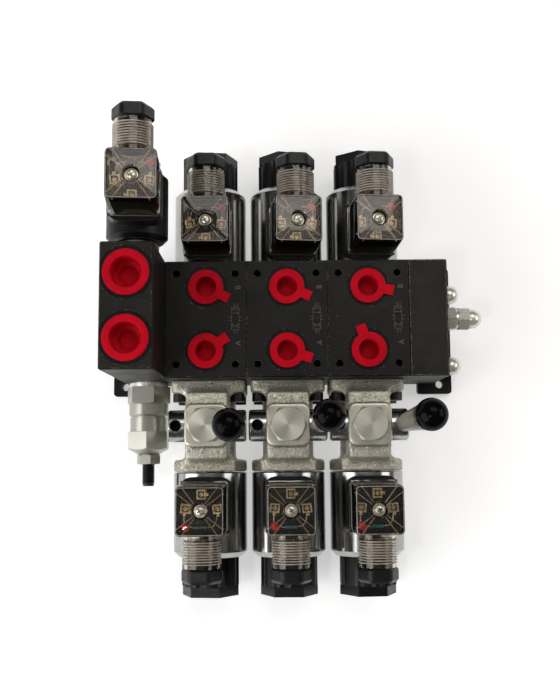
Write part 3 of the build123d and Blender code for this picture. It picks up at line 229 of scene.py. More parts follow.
def black_oxide(name="black_oxide", worn=0.35, lift=1.0):
    """Blackened steel: satin, faintly mottled, with fine scratches and speckled, worn edges."""
    material, tree, shader = new_material(name, Specular_IOR_Level=0.16)
    dark, pale = tinted(0.0054 * lift, OXIDE_TINT), tinted(0.0112 * lift, OXIDE_TINT)
    colour = mottled(tree, (55, 6, 0.6), dark, pale)
    scratch = ranged(tree, noise_of(tree, 1.0, 2, 0.6, stretched(tree, (60, 1500, 60))), 0.69, 0.76)
    spots = ranged(tree, noise_of(tree, 420, 2, 0.5), 0.72, 0.78)
    for marks, bare in ((scratch, (0.09, 0.086, 0.077)), (spots, (0.12, 0.11, 0.1))):
        colour = mixed(tree, maths(tree, "MULTIPLY", marks, worn), colour, bare)
    chips = ranged(tree, noise_of(tree, 1100, 3, 0.6), 0.62 - worn * 0.2, 0.72 - worn * 0.2)
    height = parts_of(tree, place_of(tree))["Z"]
    for face in (PORT_FACE, INLET_TOP):
        away = maths(tree, "ABSOLUTE", maths(tree, "SUBTRACT", height, (face - SPOTFACE_DEPTH) * MM))
        spotface = ranged(tree, away, 0.25 * MM, 0.15 * MM, 0.0, 0.8)
        chips = maths(tree, "MULTIPLY", chips, ranged(tree, away, 0.1 * MM, 0.3 * MM))
        colour = mixed(tree, spotface, colour, (0.001, 0.001, 0.001))
    wear = maths(tree, "MULTIPLY", edge_mask(tree, 0.55), chips)
    link(mixed(tree, wear, colour, (0.3, 0.28, 0.24)), shader, "Base Color")
    uneven_shine(shader, (90, 5), 0.4, 0.55)
    bump(shader, noise_of(tree, 1800, 3), 0.25, 0.02, rounded_normal(tree, 0.3))
    return material


def zinc_casting():
    """Rough cast steel under dull zinc, with bumps and small pits. Painted light: the bumps' tops are
    painted pale as highlight, and the hollows between them, the concave folds and the pits are painted dark
    as shade.
    """
    material, tree, shader = new_material("zinc_casting", Metallic=0.5)
    colour = mottled(tree, (70, 5, 0.6), (0.38, 0.37, 0.3), (0.53, 0.515, 0.43))
    grain = noise_of(tree, 1050, 2, 0.5)
    # The grain's hollows are painted dark, as shade, and its high bumps pale, as highlight.
    for start, end, tone in ((0.47, 0.33, (0.1, 0.095, 0.075)), (0.55, 0.7, (0.88, 0.87, 0.78))):
        share = maths(tree, "MULTIPLY", ranged(tree, grain, start, end), 0.5)
        colour = mixed(tree, share, colour, tone)
    # Painted shade in the concave folds, found by pointiness, which darkens them.
    crease_shade = add(tree, "NewGeometry").outputs["Pointiness"]
    colour = mixed(tree, ranged(tree, crease_shade, 0.493, 0.45), colour, (0.05, 0.047, 0.038))
    # The pits, more of them where X is below -30 mm, are darkened as painted shade.
    more = ranged(tree, parts_of(tree, place_of(tree))["X"], -0.03, -0.06, 0.0, 0.045)
    pits = ranged(tree, maths(tree, "ADD", noise_of(tree, 480, 2, 0.5), more), 0.715, 0.75)
    link(mixed(tree, pits, colour, (0.03, 0.028, 0.022)), shader, "Base Color")
    link(ranged(tree, grain, 0.3, 0.7, 0.55, 0.3), shader, "Roughness")
    bump(shader, maths(tree, "ADD", grain, maths(tree, "MULTIPLY", pits, -0.8)), 0.9, 0.4)
    return material


def zinc_machined(name, tint, rough, uneven=1.15, grain=0.2, spread=0.07, metal=0.85):
    """Zinc-plated steel, cut smooth, with a faint warm cast in the plating."""
    material, tree, shader = new_material(name, Metallic=metal)
    link(mottled(tree, (110, 4, 0.6), tint, tinted(uneven, tint)), shader, "Base Color")
    uneven_shine(shader, (300, 4), rough - spread, rough + spread)
    bump(shader, noise_of(tree, 2200, 3), grain, 0.012, rounded_normal(tree, 0.25))
    return material


def turned_face():
    """The plugs' faces: turning rings about each plug's own middle, which sweep the light round."""
    material, tree, shader = new_material("turned_zinc", Metallic=0.75, Roughness=0.4, Anisotropic=0.6)
    spot = parts_of(tree, place_of(tree))
    along = maths(tree, "SUBTRACT", spot["X"], (SECTIONS[0] - SECTION_PITCH / 2) * MM)
    along = maths(tree, "MODULO", along, SECTION_PITCH * MM)
    along = maths(tree, "SUBTRACT", along, SECTION_PITCH / 2 * MM)
    across = maths(tree, "ADD", spot["Y"], LEVER_OFFSET * MM)
    squares = [maths(tree, "MULTIPLY", way, way) for way in (along, across)]
    radius = maths(tree, "SQRT", maths(tree, "ADD", *squares))
    rings = noise_of(tree, 1.0, 2, 0.5, joined(tree, X=maths(tree, "MULTIPLY", radius, 3000.0)))
    link(joined(tree, X=maths(tree, "MULTIPLY", across, -1.0), Y=along), shader, "Tangent")
    colour = mixed(tree, ranged(tree, rings, 0.3, 0.7), (0.42, 0.407, 0.34), (0.54, 0.527, 0.46))
    link(colour, shader, "Base Color")
    bump(shader, rings, 0.06, 0.03, rounded_normal(tree, 0.3))
    return material


def polished_steel(name, tint, rough):
    """Bright steel with faint smears and hairline marks."""
    material, tree, shader = new_material(name, Metallic=1.0)
    dull, bright = tinted(tint, (0.86, 0.87, 0.86)), tinted(tint, (1.08, 1.08, 1.05))
    link(mottled(tree, (45, 5, 0.65), dull, bright), shader, "Base Color")
    smear = noise_of(tree, 1.0, 3, 0.6, stretched(tree, (900, 40, 900)))
    link(ranged(tree, smear, 0.3, 0.75, rough * 0.7, rough * 1.6), shader, "Roughness")
    bump(shader, smear, 0.05, 0.01, rounded_normal(tree, 0.3))
    return material


def red_plastic():
    """Soft red moulded plastic with a faint bloom."""
    material, tree, shader = new_material("red_plastic", Specular_IOR_Level=0.03)
    colour = mottled(tree, (120, 4), (0.42, 0.003, 0.011), (0.52, 0.004, 0.016), (0.3, 0.75))
    link(colour, shader, "Base Color")
    uneven_shine(shader, (260, 3), 0.36, 0.5)
    bump(shader, noise_of(tree, 1400, 2), 0.15, 0.015, rounded_normal(tree, 0.3))
    return material


def black_plastic(name="black_plastic", level=0.0045, rough=0.36):
    """Black moulded plastic with a fine grain and soft corners."""
    material, tree, shader = new_material(name, Specular_IOR_Level=0.23)
    dark, pale = tinted(level, (0.8, 0.8, 0.82)), tinted(level, (1.4, 1.4, 1.35))
    link(mottled(tree, (150, 4), dark, pale), shader, "Base Color")
    uneven_shine(shader, (500, 3), rough - 0.07, rough + 0.08)
    bump(shader, noise_of(tree, 2600, 2), 0.3, 0.015, rounded_normal(tree, 0.35))
    return material


def gloss_black():
    """The knobs' polished black, with faint dust that breaks the shine."""
    material, tree, shader = new_material("gloss_black", Specular_IOR_Level=0.05)
    dust = maths(tree, "MULTIPLY", ranged(tree, noise_of(tree, 700, 3), 0.55, 0.75), 0.2)
    link(mixed(tree, dust, (0.0015, 0.0015, 0.0014), (0.012, 0.012, 0.012)), shader, "Base Color")
    uneven_shine(shader, (80, 4), 0.13, 0.2)
    return material


def let_light_in(material, colour):
    """Shadow rays pass straight through, tinted, so that what lies inside is lit."""
    tree = material.node_tree
    path = add(tree, "LightPath").outputs["Is Shadow Ray"]
    clear = add(tree, "BsdfTransparent", {"Color": (*colour, 1.0)})
    shader = tree.nodes["Principled BSDF"]
    both = add(tree, "MixShader", {0: path, 1: shader.outputs["BSDF"], 2: clear.outputs["BSDF"]})
    link(both.outputs["Shader"], tree.nodes["Material Output"], "Surface")
    return material


def smoked_clear():
    """The connectors' clear plastic, faintly smoked."""
    material, tree, shader = new_material("smoked_clear", Transmission_Weight=1.0, IOR=1.42)
    link(mottled(tree, (140, 4), (0.58, 0.52, 0.44), (0.66, 0.6, 0.52)), shader, "Base Color")
    uneven_shine(shader, (220, 3), 0.01, 0.04, (0.35, 0.7))
    return let_light_in(material, (0.82, 0.78, 0.71))


def painted_highlight_clear(name="painted_highlight_clear", level=0.5, rough=0.12):
    """The clear plastic made paler and half diffuse, as a painted highlight where it would catch the light:
    its rounded edges, ribs and threads.
    """
    material, tree, shader = new_material(name, Transmission_Weight=0.5, IOR=1.45)
    dull, bright = tinted(level * 0.75, (1.0, 0.93, 0.82)), tinted(level * 1.25, (1.0, 0.95, 0.85))
    link(mottled(tree, (300, 4), dull, bright), shader, "Base Color")
    uneven_shine(shader, (400, 3), rough * 0.8, rough * 1.5, (0.35, 0.7))
    return let_light_in(material, (0.6, 0.57, 0.52))


def small_part(name, colour, metallic, rough):
    """A small part's finish: one hue, slightly uneven in colour and shine."""
    material, tree, shader = new_material(name, Metallic=metallic)
    link(mottled(tree, (400, 3), tinted(0.75, colour), tinted(1.2, colour)), shader, "Base Color")
    uneven_shine(shader, (900, 3), rough * 0.75, rough * 1.3)
    return material


MATERIALS = {
    "black_oxide": black_oxide(),
    "worn_oxide": black_oxide("worn_oxide", 0.9, 1.7),
    "inlet_oxide": black_oxide("inlet_oxide", 0.35, 1.35),
    "casting": zinc_casting(),
    "zinc": zinc_machined("zinc_machined", (0.5, 0.48, 0.4), 0.38),
    "pale_zinc": zinc_machined("pale_zinc", (0.74, 0.725, 0.655), 0.28, 1.08, 0.04, 0.03, 0.6),
    "yellow_zinc": zinc_machined("yellow_zinc", (0.375, 0.372, 0.33), 0.3, 1.04, 0.0, 0.015),
    "turned": turned_face(),
    "chrome": polished_steel("coil_steel", 0.38, 0.17),
    "steel": polished_steel("shaft_steel", 0.38, 0.2),
    "handle": zinc_machined("handle_zinc", (0.26, 0.26, 0.245), 0.24, 1.05, 0.0, 0.02),
    "red": red_plastic(),
    "plastic": black_plastic(),
    "rubber": black_plastic("rubber", 0.008, 0.6),
    "knob": gloss_black(),
    "clear": smoked_clear(),
    # Painted highlight: paler, half-diffuse clear plastic for the covers' edges, the ribs and the spigots'
    # threads.
    "pale": painted_highlight_clear(),
    "ridge": painted_highlight_clear("ridge_highlight_clear", 0.62, 0.1),
    "seal": small_part("seal_rubber", (0.14, 0.12, 0.09), 0.0, 0.5),
    "carrier": black_plastic("carrier_plastic", 0.008, 0.3),
    "contact": small_part("contact_plating", (0.66, 0.58, 0.44), 0.5, 0.28),
    "lamp": small_part("lamp_red", (0.6, 0.008, 0.015), 0.0, 0.6),
    "resistor": small_part("resistor_teal", (0.02, 0.17, 0.22), 0.0, 0.3),
    "lead": small_part("tinned_lead", (0.6, 0.57, 0.5), 0.6, 0.25),
    "marks": small_part("marking", (0.09, 0.08, 0.06), 0.0, 0.6),
    "black_screw": small_part("black_screw", (0.008, 0.008, 0.008), 0.4, 0.35),
    "bright_screw": zinc_machined("bright_screw", (0.62, 0.59, 0.5), 0.32),
    # Painted shade: near black for the inside of the levers' threaded sockets.
    "bore_shade": small_part("bore_shade", (0.004, 0.004, 0.004), 0.2, 0.5),
    "spring": polished_steel("spring_steel", 0.35, 0.3),
}


def paint(material, *names):
    """Gives CAD nodes a material, in place of the one that they came with."""
    for name in names:
        data = nodes[name].data
        data.materials.clear()
        data.materials.append(MATERIALS[material])


def paint_nodes():
    numbers = (1, 2, 3)
    paint("inlet_oxide", "inlet_block")
    paint("black_oxide", "mounting_feet", *[f"section_body_{i}" for i in numbers])
    paint("worn_oxide", "end_plate")
    paint("red", "main_port_plugs", "work_port_caps")
    paint("turned", "housing_plugs")
    paint("zinc", "unloader_cartridge")
    paint("pale_zinc", "washers", "tie_rod_nuts")
    paint("yellow_zinc", "relief_body", "relief_sleeve", "relief_lock_nut")
    paint("chrome", "upper_coils", "lower_coils")
    paint("steel", "tie_rods", "solenoid_tubes", "relief_seat", "relief_poppet", "unloader_armature")
    paint("plastic", "coil_terminal_bosses", "coil_nuts", "unloader_coil", "gland_nuts")
    paint("rubber", "connector_gaskets", "section_seals")
    paint("black_screw", "foot_screws", "housing_screws", "relief_screw")
    paint("bright_screw", "connector_screws")
    paint("carrier", "connector_inserts")
    paint("clear", "connector_housings")
    paint("spring", "unloader_spring", "relief_spring")
    for i in numbers:
        paint("casting", f"lever_housing_{i}")
        paint("steel", f"lever_shaft_{i}", f"lever_finger_{i}", f"spool_{i}", f"armatures_{i}")
        paint("spring", f"centring_springs_{i}")
        paint("handle", f"lever_handle_{i}")
        paint("knob", f"lever_knob_{i}")


# Mesh building


SHARP_ANGLE = 35


def put_in_scene(name, data):
    made = bpy.data.objects.new(name, data)
    bpy.context.scene.collection.objects.link(made)
    return made


def finish_piece(name, shape, material, place=None, body=BODY, *, replaces=(), second=None):
    """Turns a bmesh in millimetres into a piece that rides on a body."""
    shape.transform((place or Matrix()) @ Matrix.Scale(MM, 4))
    bmesh.ops.recalc_face_normals(shape, faces=shape.faces)
    mesh = bpy.data.meshes.new(name)
    shape.to_mesh(mesh)
    shape.free()
    mesh.materials.append(MATERIALS[material])
    if second:
        mesh.materials.append(MATERIALS[second])
    mesh.polygons.foreach_set("use_smooth", [True] * len(mesh.polygons))
    mesh.set_sharp_from_angle(angle=math.radians(SHARP_ANGLE))
    made = put_in_scene(name, mesh)
    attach(made, body)
    if replaces:
        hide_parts(*replaces)


def add_rings(shape, rings, closed=False, second=()):
    """Joins rings of points, with capped ends or closed round. Bands in second take the second material."""
    made = [[shape.verts.new(point) for point in ring] for ring in rings]
    pairs = list(zip(made, made[1:]))
    if closed:
        pairs.append((made[-1], made[0]))
    for band, (lower, upper) in enumerate(pairs):
        for k in range(len(lower)):
            after = (k + 1) % len(lower)
            face = shape.faces.new((lower[k], lower[after], upper[after], upper[k]))
            face.material_index = int(band in second)
    if not closed:
        shape.faces.new(made[0][::-1])
        shape.faces.new(made[-1])


def circle(radius, height, count):
    steps = [2 * math.pi * k / count for k in range(count)]
    return [Vector((radius * math.cos(a), radius * math.sin(a), height)) for a in steps]


def add_lathe(shape, profile, count, closed=False, place=None):
    """A turned form about Z from (radius, height) points."""
    place = place or Matrix()
    add_rings(shape, [[place @ p for p in circle(max(r, 0.01), z, count)] for r, z in profile], closed)


def subdivided(ring, parts, shortest):
    """The ring with its longer edges cut into equal parts."""
    points = []
    for start, end in zip(ring, ring[1:] + ring[:1]):
        cuts = parts if (end - start).length > shortest else 1
        points += [start.lerp(end, k / cuts) for k in range(cuts)]
    return points


CORNER_STEPS = 4


def rounded_rectangle(width, length, corner, middle, height):
    """A ring of points round a rectangle with rounded corners."""
    points = []
    for quarter, (sx, sy) in enumerate(((1, 1), (-1, 1), (-1, -1), (1, -1))):
        x = middle[0] + sx * (width / 2 - corner)
        y = middle[1] + sy * (length / 2 - corner)
        for k in range(CORNER_STEPS + 1):
            angle = math.pi / 2 * (quarter + k / CORNER_STEPS)
            points.append(Vector((x + corner * math.cos(angle), y + corner * math.sin(angle), height)))
    return subdivided(points, parts=10, shortest=10.0)


def circle_under(ring, middle, radius, height):
    """A circle with one point for each of a ring's, seen from the middle."""
    points = []
    for point in ring:
        angle = math.atan2(point.y - middle[1], point.x - middle[0])
        x, y = middle[0] + radius * math.cos(angle), middle[1] + radius * math.sin(angle)
        points.append(Vector((x, y, height)))
    return points


def add_box(shape, x, y, z, soft=0.0, place=None):
    """A box between (low, high) pairs, its edges softened."""
    square = ((x[0], y[0]), (x[1], y[0]), (x[1], y[1]), (x[0], y[1]))
    new = bmesh.new()
    add_rings(new, [[Vector((*corner, height)) for corner in square] for height in z])
    if soft:
        bmesh.ops.recalc_face_normals(new, faces=new.faces)
        bmesh.ops.bevel(new, geom=new.edges[:], offset=soft, segments=2, profile=0.7, affect="EDGES")
    merge(shape, new, place)


def merge(shape, other, place=None):
    """Adds another bmesh to this one, and frees the other."""
    if place:
        other.transform(place)
    mesh = bpy.data.meshes.new("passing")
    other.to_mesh(mesh)
    other.free()
    shape.from_mesh(mesh)
    bpy.data.meshes.remove(mesh)


WIRE_SIDES = 8


def add_wire(shape, points, radius):
    """A round wire through points."""
    rings = []
    for index, point in enumerate(points):
        before = points[max(index - 1, 0)]
        after = points[min(index + 1, len(points) - 1)]
        way = (Vector(after) - Vector(before)).normalized()
        side = way.orthogonal().normalized()
        up = way.cross(side)
        steps = [2 * math.pi * k / WIRE_SIDES for k in range(WIRE_SIDES)]
        rings.append([Vector(point) + radius * (side * math.cos(a) + up * math.sin(a)) for a in steps])
    add_rings(shape, rings)


def moved(x, y, z):
    return Matrix.Translation((x, y, z))


def turned(angle, axis):
    return Matrix.Rotation(angle, 4, axis)


def outward_turn():
    """Turns a form modelled along Z to point along Y."""
    return turned(-math.pi / 2, "X")


def seat(x, z, side, start, turn=0.0):
    """The place of a piece modelled with Y outward and Z up, at one end of a spool."""
    flip = turned(0.0 if side > 0 else math.pi, "Z")
    return moved(x * MM, side * start * MM, z * MM) @ flip @ turned(math.radians(side * turn), "Y")


def connector_seats():
    """Each connector as (place, shift along the coil, side)."""
    seats = []
    for x, turns in zip(SECTIONS, CONNECTOR_TURNS):
        seats.append((seat(x, SPOOL_HEIGHT, -1, HOUSING_END, turns[0]), COIL_GAP, -1))
        seats.append((seat(x, SPOOL_HEIGHT, 1, BLOCK_SIDE, turns[1]), COIL_GAP, 1))
    seats.append((seat(INLET_MIDDLE, UNLOADER_HEIGHT, 1, BLOCK_SIDE, UNLOADER_TURN), UNLOADER_SHIFT, 1))
    return seats


# Connectors


def cover_ring(inset, height, shift):
    """The cover's outline at a height, a little wider and longer towards its base."""
    share = (height - COVER_BASE) / (COVER_TOP - COVER_BASE)
    width = COVER_BASE_WIDTH + share * (COVER_WIDTH - COVER_BASE_WIDTH)
    start = COVER_BASE_START + share * (COVER_START - COVER_BASE_START)
    length = COVER_END - start
    middle = (0.0, shift + (COVER_END + start) / 2)
    corner = max(COVER_CORNER - inset, 0.4)
    return rounded_rectangle(width - 2 * inset, length - 2 * inset, corner, middle, height)


def well_middle(shift):
    return (0.0, shift + (COVER_START + COVER_END) / 2)


def well_place(shift):
    return moved(*well_middle(shift), 0)


def cover_shape(shift):
    """The clear cover: one closed wall from its foot over the front and its well to the inside."""
    heights = (COVER_BASE, COVER_BASE + COVER_FOOT, COVER_TOP - COVER_ROUND)
    rings = [cover_ring(0, height, shift) for height in heights]
    for angle in (math.pi / 6, math.pi / 3):
        inset, sink = COVER_ROUND * (1 - math.cos(angle)), COVER_ROUND * (1 - math.sin(angle))
        rings.append(cover_ring(inset, COVER_TOP - sink, shift))
    front = cover_ring(COVER_ROUND, COVER_TOP, shift)
    rings.append(front)
    bore, wall = WELL / 2, WELL / 2 + WELL_WALL
    under, inner_top = WELL_FLOOR - WELL_FLOOR_WALL, COVER_TOP - COVER_WALL
    well = [(bore + 0.7, COVER_TOP), (bore + 0.4, COVER_TOP - 0.25), (bore, COVER_TOP - 0.4),
            (bore, WELL_FLOOR), (SCREW_HOLE, WELL_FLOOR), (SCREW_HOLE, under),
            (wall, under), (wall, inner_top)]
    rings += [circle_under(front, well_middle(shift), radius, height) for radius, height in well]
    rings += [cover_ring(COVER_WALL, height, shift) for height in (inner_top, COVER_BASE)]
    shape = bmesh.new()
    # The foot band and the last band of the rounded front edge take the paler clear plastic: a painted
    # highlight.
    foot_band, edge_band = 0, 4
    add_rings(shape, rings, closed=True, second=(foot_band, edge_band))
    add_spigot(shape, shift)
    return shape


def ribs_shape(shift):
    """Pairs of thin ribs that spread from the well towards the cover's corners."""
    shape = bmesh.new()
    start = WELL / 2 + WELL_WALL + 0.1
    top = COVER_TOP - COVER_WALL - 0.05
    for quarter in range(4):
        for spread in (-RIB_SPREAD, RIB_SPREAD):
            place = well_place(shift) @ turned(math.pi / 4 + math.pi / 2 * quarter, "Z")
            place = place @ moved(start, math.copysign(RIB_START, spread), 0) @ turned(spread, "Z")
            add_box(shape, (0, RIB_LENGTH), (-RIB_HALF, RIB_HALF), (top - RIB_DEPTH, top), 0.08, place)
    return shape


def spigot_place():
    return moved(0, 0, SPIGOT_HEIGHT) @ outward_turn()


def add_spigot(shape, shift):
    """The spigot's clear tube, thicker where it leaves the cover."""
    start = shift + COVER_END - 0.02
    root = SPIGOT / 2 - THREAD_DEPTH
    collar = SPIGOT / 2 - 0.2
    bore = SPIGOT_BORE / 2
    profile = [(collar, start), (collar, start + 2.6), (root, start + 3.2), (root, start + SPIGOT_LENGTH),
               (bore, start + SPIGOT_LENGTH), (bore, start)]
    add_lathe(shape, profile, SPIGOT_SIDES, closed=True, place=spigot_place())


def thread_shape(shift):
    """The spigot's ridges, each a ring round the tube."""
    shape = bmesh.new()
    start = shift + COVER_END + 3.4
    root = SPIGOT / 2 - THREAD_DEPTH - 0.02
    crest = SPIGOT / 2
    for k in range(int((SPIGOT_LENGTH - 4.4) / THREAD_PITCH)):
        low = start + k * THREAD_PITCH
        ridge = [(root, low), (crest - 0.12, low + 0.2), (crest, low + 0.3), (crest, low + 0.45),
                 (crest - 0.12, low + 0.55), (root, low + 0.75)]
        add_lathe(shape, ridge, SPIGOT_SIDES, closed=True, place=spigot_place())
    return shape


def seal_shape(shift):
    """The rubber seal inside the spigot, which grips the cable."""
    shape = bmesh.new()
    start, end = shift + COVER_END + 4.0, shift + COVER_END + SPIGOT_LENGTH - 6.1
    grip, wall = CABLE_ENTRY / 2, SPIGOT_BORE / 2 - 0.05
    profile = [(grip, start), (wall - 1.5, start), (wall, start + 1.5), (wall, end), (grip, end)]
    add_lathe(shape, profile, 40, closed=True, place=spigot_place())
    return shape


def carrier_shape(shift):
    """The dark carrier under the cover, stepped up round the screw's post."""
    shape = bmesh.new()
    x, y = well_middle(shift)
    half = COVER_WIDTH / 2 - COVER_WALL - 0.5
    add_box(shape, (x - half, x + half), (y - half, y + half), (COVER_BASE + 0.02, CARRIER_TOP), 0.4)
    half -= 1.5
    add_box(shape, (x - half, x + half), (y - half, y + half), (CARRIER_TOP, CONTACT_BASE), 0.4)
    post_top = WELL_FLOOR - WELL_FLOOR_WALL - 0.1
    post = [(5.6, CARRIER_TOP), (5.6, post_top), (1.75, post_top), (1.75, CARRIER_TOP)]
    add_lathe(shape, post, 40, closed=True, place=well_place(shift))
    return shape


def add_contact(shape, x, y, turn):
    """One screw contact: a square clamp round its screw, with a tail."""
    place = moved(x, y, CONTACT_BASE) @ turned(turn, "Z")
    half, bar, high = 2.6, 0.85, 4.4
    for low, top in ((-half, bar - half), (half - bar, half)):
        add_box(shape, (low, top), (-half, half), (0, high), 0.15, place)
        add_box(shape, (bar - half, half - bar), (low, top), (0, high), 0.15, place)
    screw = [(1.3, 0), (1.3, high - 0.9), (1.05, high - 0.6), (0.55, high - 0.6), (0.4, high - 1.1)]
    add_lathe(shape, screw, 20, place=place)
    add_box(shape, (-0.8, 0.8), (half, half + 1.6), (high - 1.0, high - 0.2), 0.15, place)


def contacts_shape(shift):
    """Three contacts round the post, and the earth tag that hangs down behind the cover's slope."""
    shape = bmesh.new()
    x, y = well_middle(shift)
    for dx, dy, turn in CONTACTS:
        add_contact(shape, x + dx, y + dy, turn)
    front = y - COVER_WIDTH / 2 + COVER_WALL + 0.45
    back = front - 0.7
    add_box(shape, (x - 0.55, x + 0.55), (back, front), (CARRIER_TOP - 4.0, CONTACT_BASE + 1.0), 0.15)
    for side in (-1, 1):
        place = moved(x, back, CARRIER_TOP - 1.6) @ turned(side * 0.5, "Y")
        add_box(shape, sorted((0, side * 2.9)), (0, 0.6), (-0.45, 0.45), 0.12, place)
    return shape


def lamp_shape(shift):
    """A small faceted lamp, lying across a corner of the carrier."""
    shape = bmesh.new()
    place = well_place(shift) @ moved(*LAMP_PLACE) @ turned(LAMP_TURN, "Z") @ outward_turn()
    add_lathe(shape, [(1.5, 0), (2.0, 0.9), (2.0, 3.0), (1.3, 4.2), (0.5, 4.6)], 8, place=place)
    return shape


def resistor_shape(shift):
    """A small resistor: a body waisted in the middle."""
    shape = bmesh.new()
    half = [(0.8, 1.8), (1.05, 2.4), (0.95, 2.9), (0.3, 3.2)]
    body = [(0.3, -3.2), (0.95, -2.9), (1.05, -2.4), (0.82, -1.8)] + half
    place = well_place(shift) @ moved(*RESISTOR_PLACE) @ turned(math.pi / 2, "Y")
    add_lathe(shape, body, 20, place=place)
    return shape


def leads_shape(shift):
    """The bare wires from the contacts to the resistor and the lamp."""
    x, y = well_middle(shift)
    paths = (((-8.6, 2.0, 43.6), (-8.4, 5.6, 44.2), (-6.6, 8.6, 43.2), (-3.1, 9.2, 42.8)),
             ((3.1, 9.2, 42.8), (4.6, 9.4, 43.2), (6.6, 8.6, 43.4)),
             ((9.0, 2.0, 43.8), (9.6, 4.0, 44.4), (9.4, 6.4, 43.8)))
    shape = bmesh.new()
    for path in paths:
        add_wire(shape, [(x + dx, y + dy, z) for dx, dy, z in path], 0.3)
    return shape


def cross_screw_shape(shift):
    """The connector's screw: a low domed head with a washer under it, on a plain shank."""
    shape = bmesh.new()
    shank, washer, head = 1.5, 3.6, 3.0
    low = SCREW_SEAT + WASHER
    profile = [(shank, 26.8), (shank, SCREW_SEAT), (washer, SCREW_SEAT), (washer, low), (head, low),
               (head, low + 1.3), (2.7, low + 1.9), (2.0, low + 2.3), (1.0, low + 2.45)]
    add_lathe(shape, profile, 40, place=well_place(shift))
    return shape


def shaded_cross_shape(shift):
    """The cross recess in the screw's head, drawn as a dark raised cross: painted shade."""
    shape = bmesh.new()
    low = SCREW_SEAT + WASHER + 2.0
    for turn in (0.5, 0.5 + math.pi / 2):
        place = well_place(shift) @ turned(turn, "Z")
        add_box(shape, (-1.7, 1.7), (-0.28, 0.28), (low, low + 0.48), 0.05, place)
    return shape


def gland_shape(shift):
    """The gland nut: a hexagon with chamfered corners round the cable's way."""
    shape = bmesh.new()
    start = shift + COVER_END + SPIGOT_LENGTH
    flat = GLAND_FLATS / 2
    corner = flat / math.cos(math.pi / 6)
    rings = []
    for inset, height in ((1.6, 0.0), (0.0, 1.2), (0.0, GLAND_LENGTH - 1.6), (1.9, GLAND_LENGTH)):
        ring = []
        for k in range(6):
            for lean in (-0.06, 0.06):
                angle = math.pi / 3 * k + lean
                reach = min(corner * 0.99, corner - inset * 0.8)
                ring.append(Vector((reach * math.cos(angle), reach * math.sin(angle), start + height)))
        rings.append(subdivided(ring, 6, 4.0))
    bore, grip = CABLE_ENTRY / 2, SPIGOT_BORE / 2 - 0.1
    for radius, height in ((bore + 0.8, GLAND_LENGTH), (bore, GLAND_LENGTH - 0.8), (bore, -GLAND_REACH),
                           (grip, -GLAND_REACH), (grip, 0.0)):
        rings.append(circle_under(rings[-1], (0, 0), radius, start + height))
    add_rings(shape, [[spigot_place() @ p for p in ring] for ring in rings], closed=True)
    return shape


# A connector's pieces: name, shape, material, slot and the CAD nodes replaced
CONNECTOR_PIECES = (
    ("cover", cover_shape, "clear", "smoked_clear_plastic", ["connector_housings"]),
    ("ribs", ribs_shape, "pale", "smoked_clear_plastic", []),
    ("thread", thread_shape, "ridge", "smoked_clear_plastic", []),
    ("seal", seal_shape, "seal", "black_rubber", []),
    ("carrier", carrier_shape, "carrier", "black_plastic", ["connector_inserts"]),
    ("contacts", contacts_shape, "contact", "bright_screw", []),
    ("lamp", lamp_shape, "lamp", "red_plastic", []),
    ("leads", leads_shape, "lead", "bright_screw", []),
    ("resistor", resistor_shape, "resistor", "black_plastic", []),
    ("screw", cross_screw_shape, "bright_screw", "bright_screw", ["connector_screws"]),
    # The screw's cross is painted shade for its recess.
    ("screw_cross", shaded_cross_shape, "black_screw", "black_screw", []),
    ("gland", gland_shape, "plastic", "black_plastic", ["gland_nuts"]),
)


def build_connector(number, place, shift, side):
    """One connector; its cover's edges are painted paler, as highlight, and only the lower row's have a
    resistor.
    """
    for part, shape, material, slot, replaced in CONNECTOR_PIECES:
        if part == "resistor" and side > 0:
            continue
        second = "pale" if part == "cover" else None
        finish_piece(f"connector_{number}_{part}", shape(shift), material, place,
                     replaces=replaced, second=second)


# Main ports' plugs

PLUG_RIM = 12.7
PLUG_STEM = 9.25
PLUG_RIM_LOW = 118.1


def main_plug_shape():
    """A moulded plug: a flat rim round a deep well that narrows near its floor."""
    shape = bmesh.new()
    low = PLUG_RIM_LOW
    outside = [(PLUG_STEM, low), (PLUG_RIM, low), (PLUG_RIM, low + 1.1), (PLUG_RIM - 0.12, low + 1.35),
               (PLUG_RIM - 0.45, low + 1.5)]
    well = [(8.9, low + 1.5), (8.65, low + 1.4), (8.5, low + 1.0), (8.2, low - 7.6), (7.9, low - 8.4),
            (5.6, low - 9.2), (5.2, low - 9.6), (5.0, low - 11.6), (4.6, low - 12.0), (0.0, low - 12.0)]
    bottom = [(0.0, low - 13.2), (5.8, low - 13.2), (6.2, low - 10.4), (8.8, low - 9.4)]
    add_lathe(shape, outside + well + bottom, 64, closed=True)
    return shape


def build_main_plugs():
    for number, side in enumerate((-1, 1), 1):
        place = moved(INLET_MIDDLE * MM, side * MAIN_PORT_OFFSET * MM, 0)
        finish_piece(f"main_plug_{number}", main_plug_shape(), "red", place,
                     replaces=["main_port_plugs"])


# Lever sockets

SHAFT_RADIUS = 9.5
SOCKET_RADIUS = 3.38
SOCKET_FLOOR = -3.4
SOCKET_MOUTH = 7.6
SOCKET_PITCH = 1.25
SOCKET_TURNS = 8
SOCKET_SIDES = 40


def saddle(radius, lift):
    """A ring round the socket's mouth that follows the shaft's round."""
    points = []
    for k in range(SOCKET_SIDES):
        angle = 2 * math.pi * k / SOCKET_SIDES
        y = radius * math.sin(angle)
        points.append(Vector((radius * math.cos(angle), y, math.sqrt(SHAFT_RADIUS ** 2 - y ** 2) + lift)))
    return points


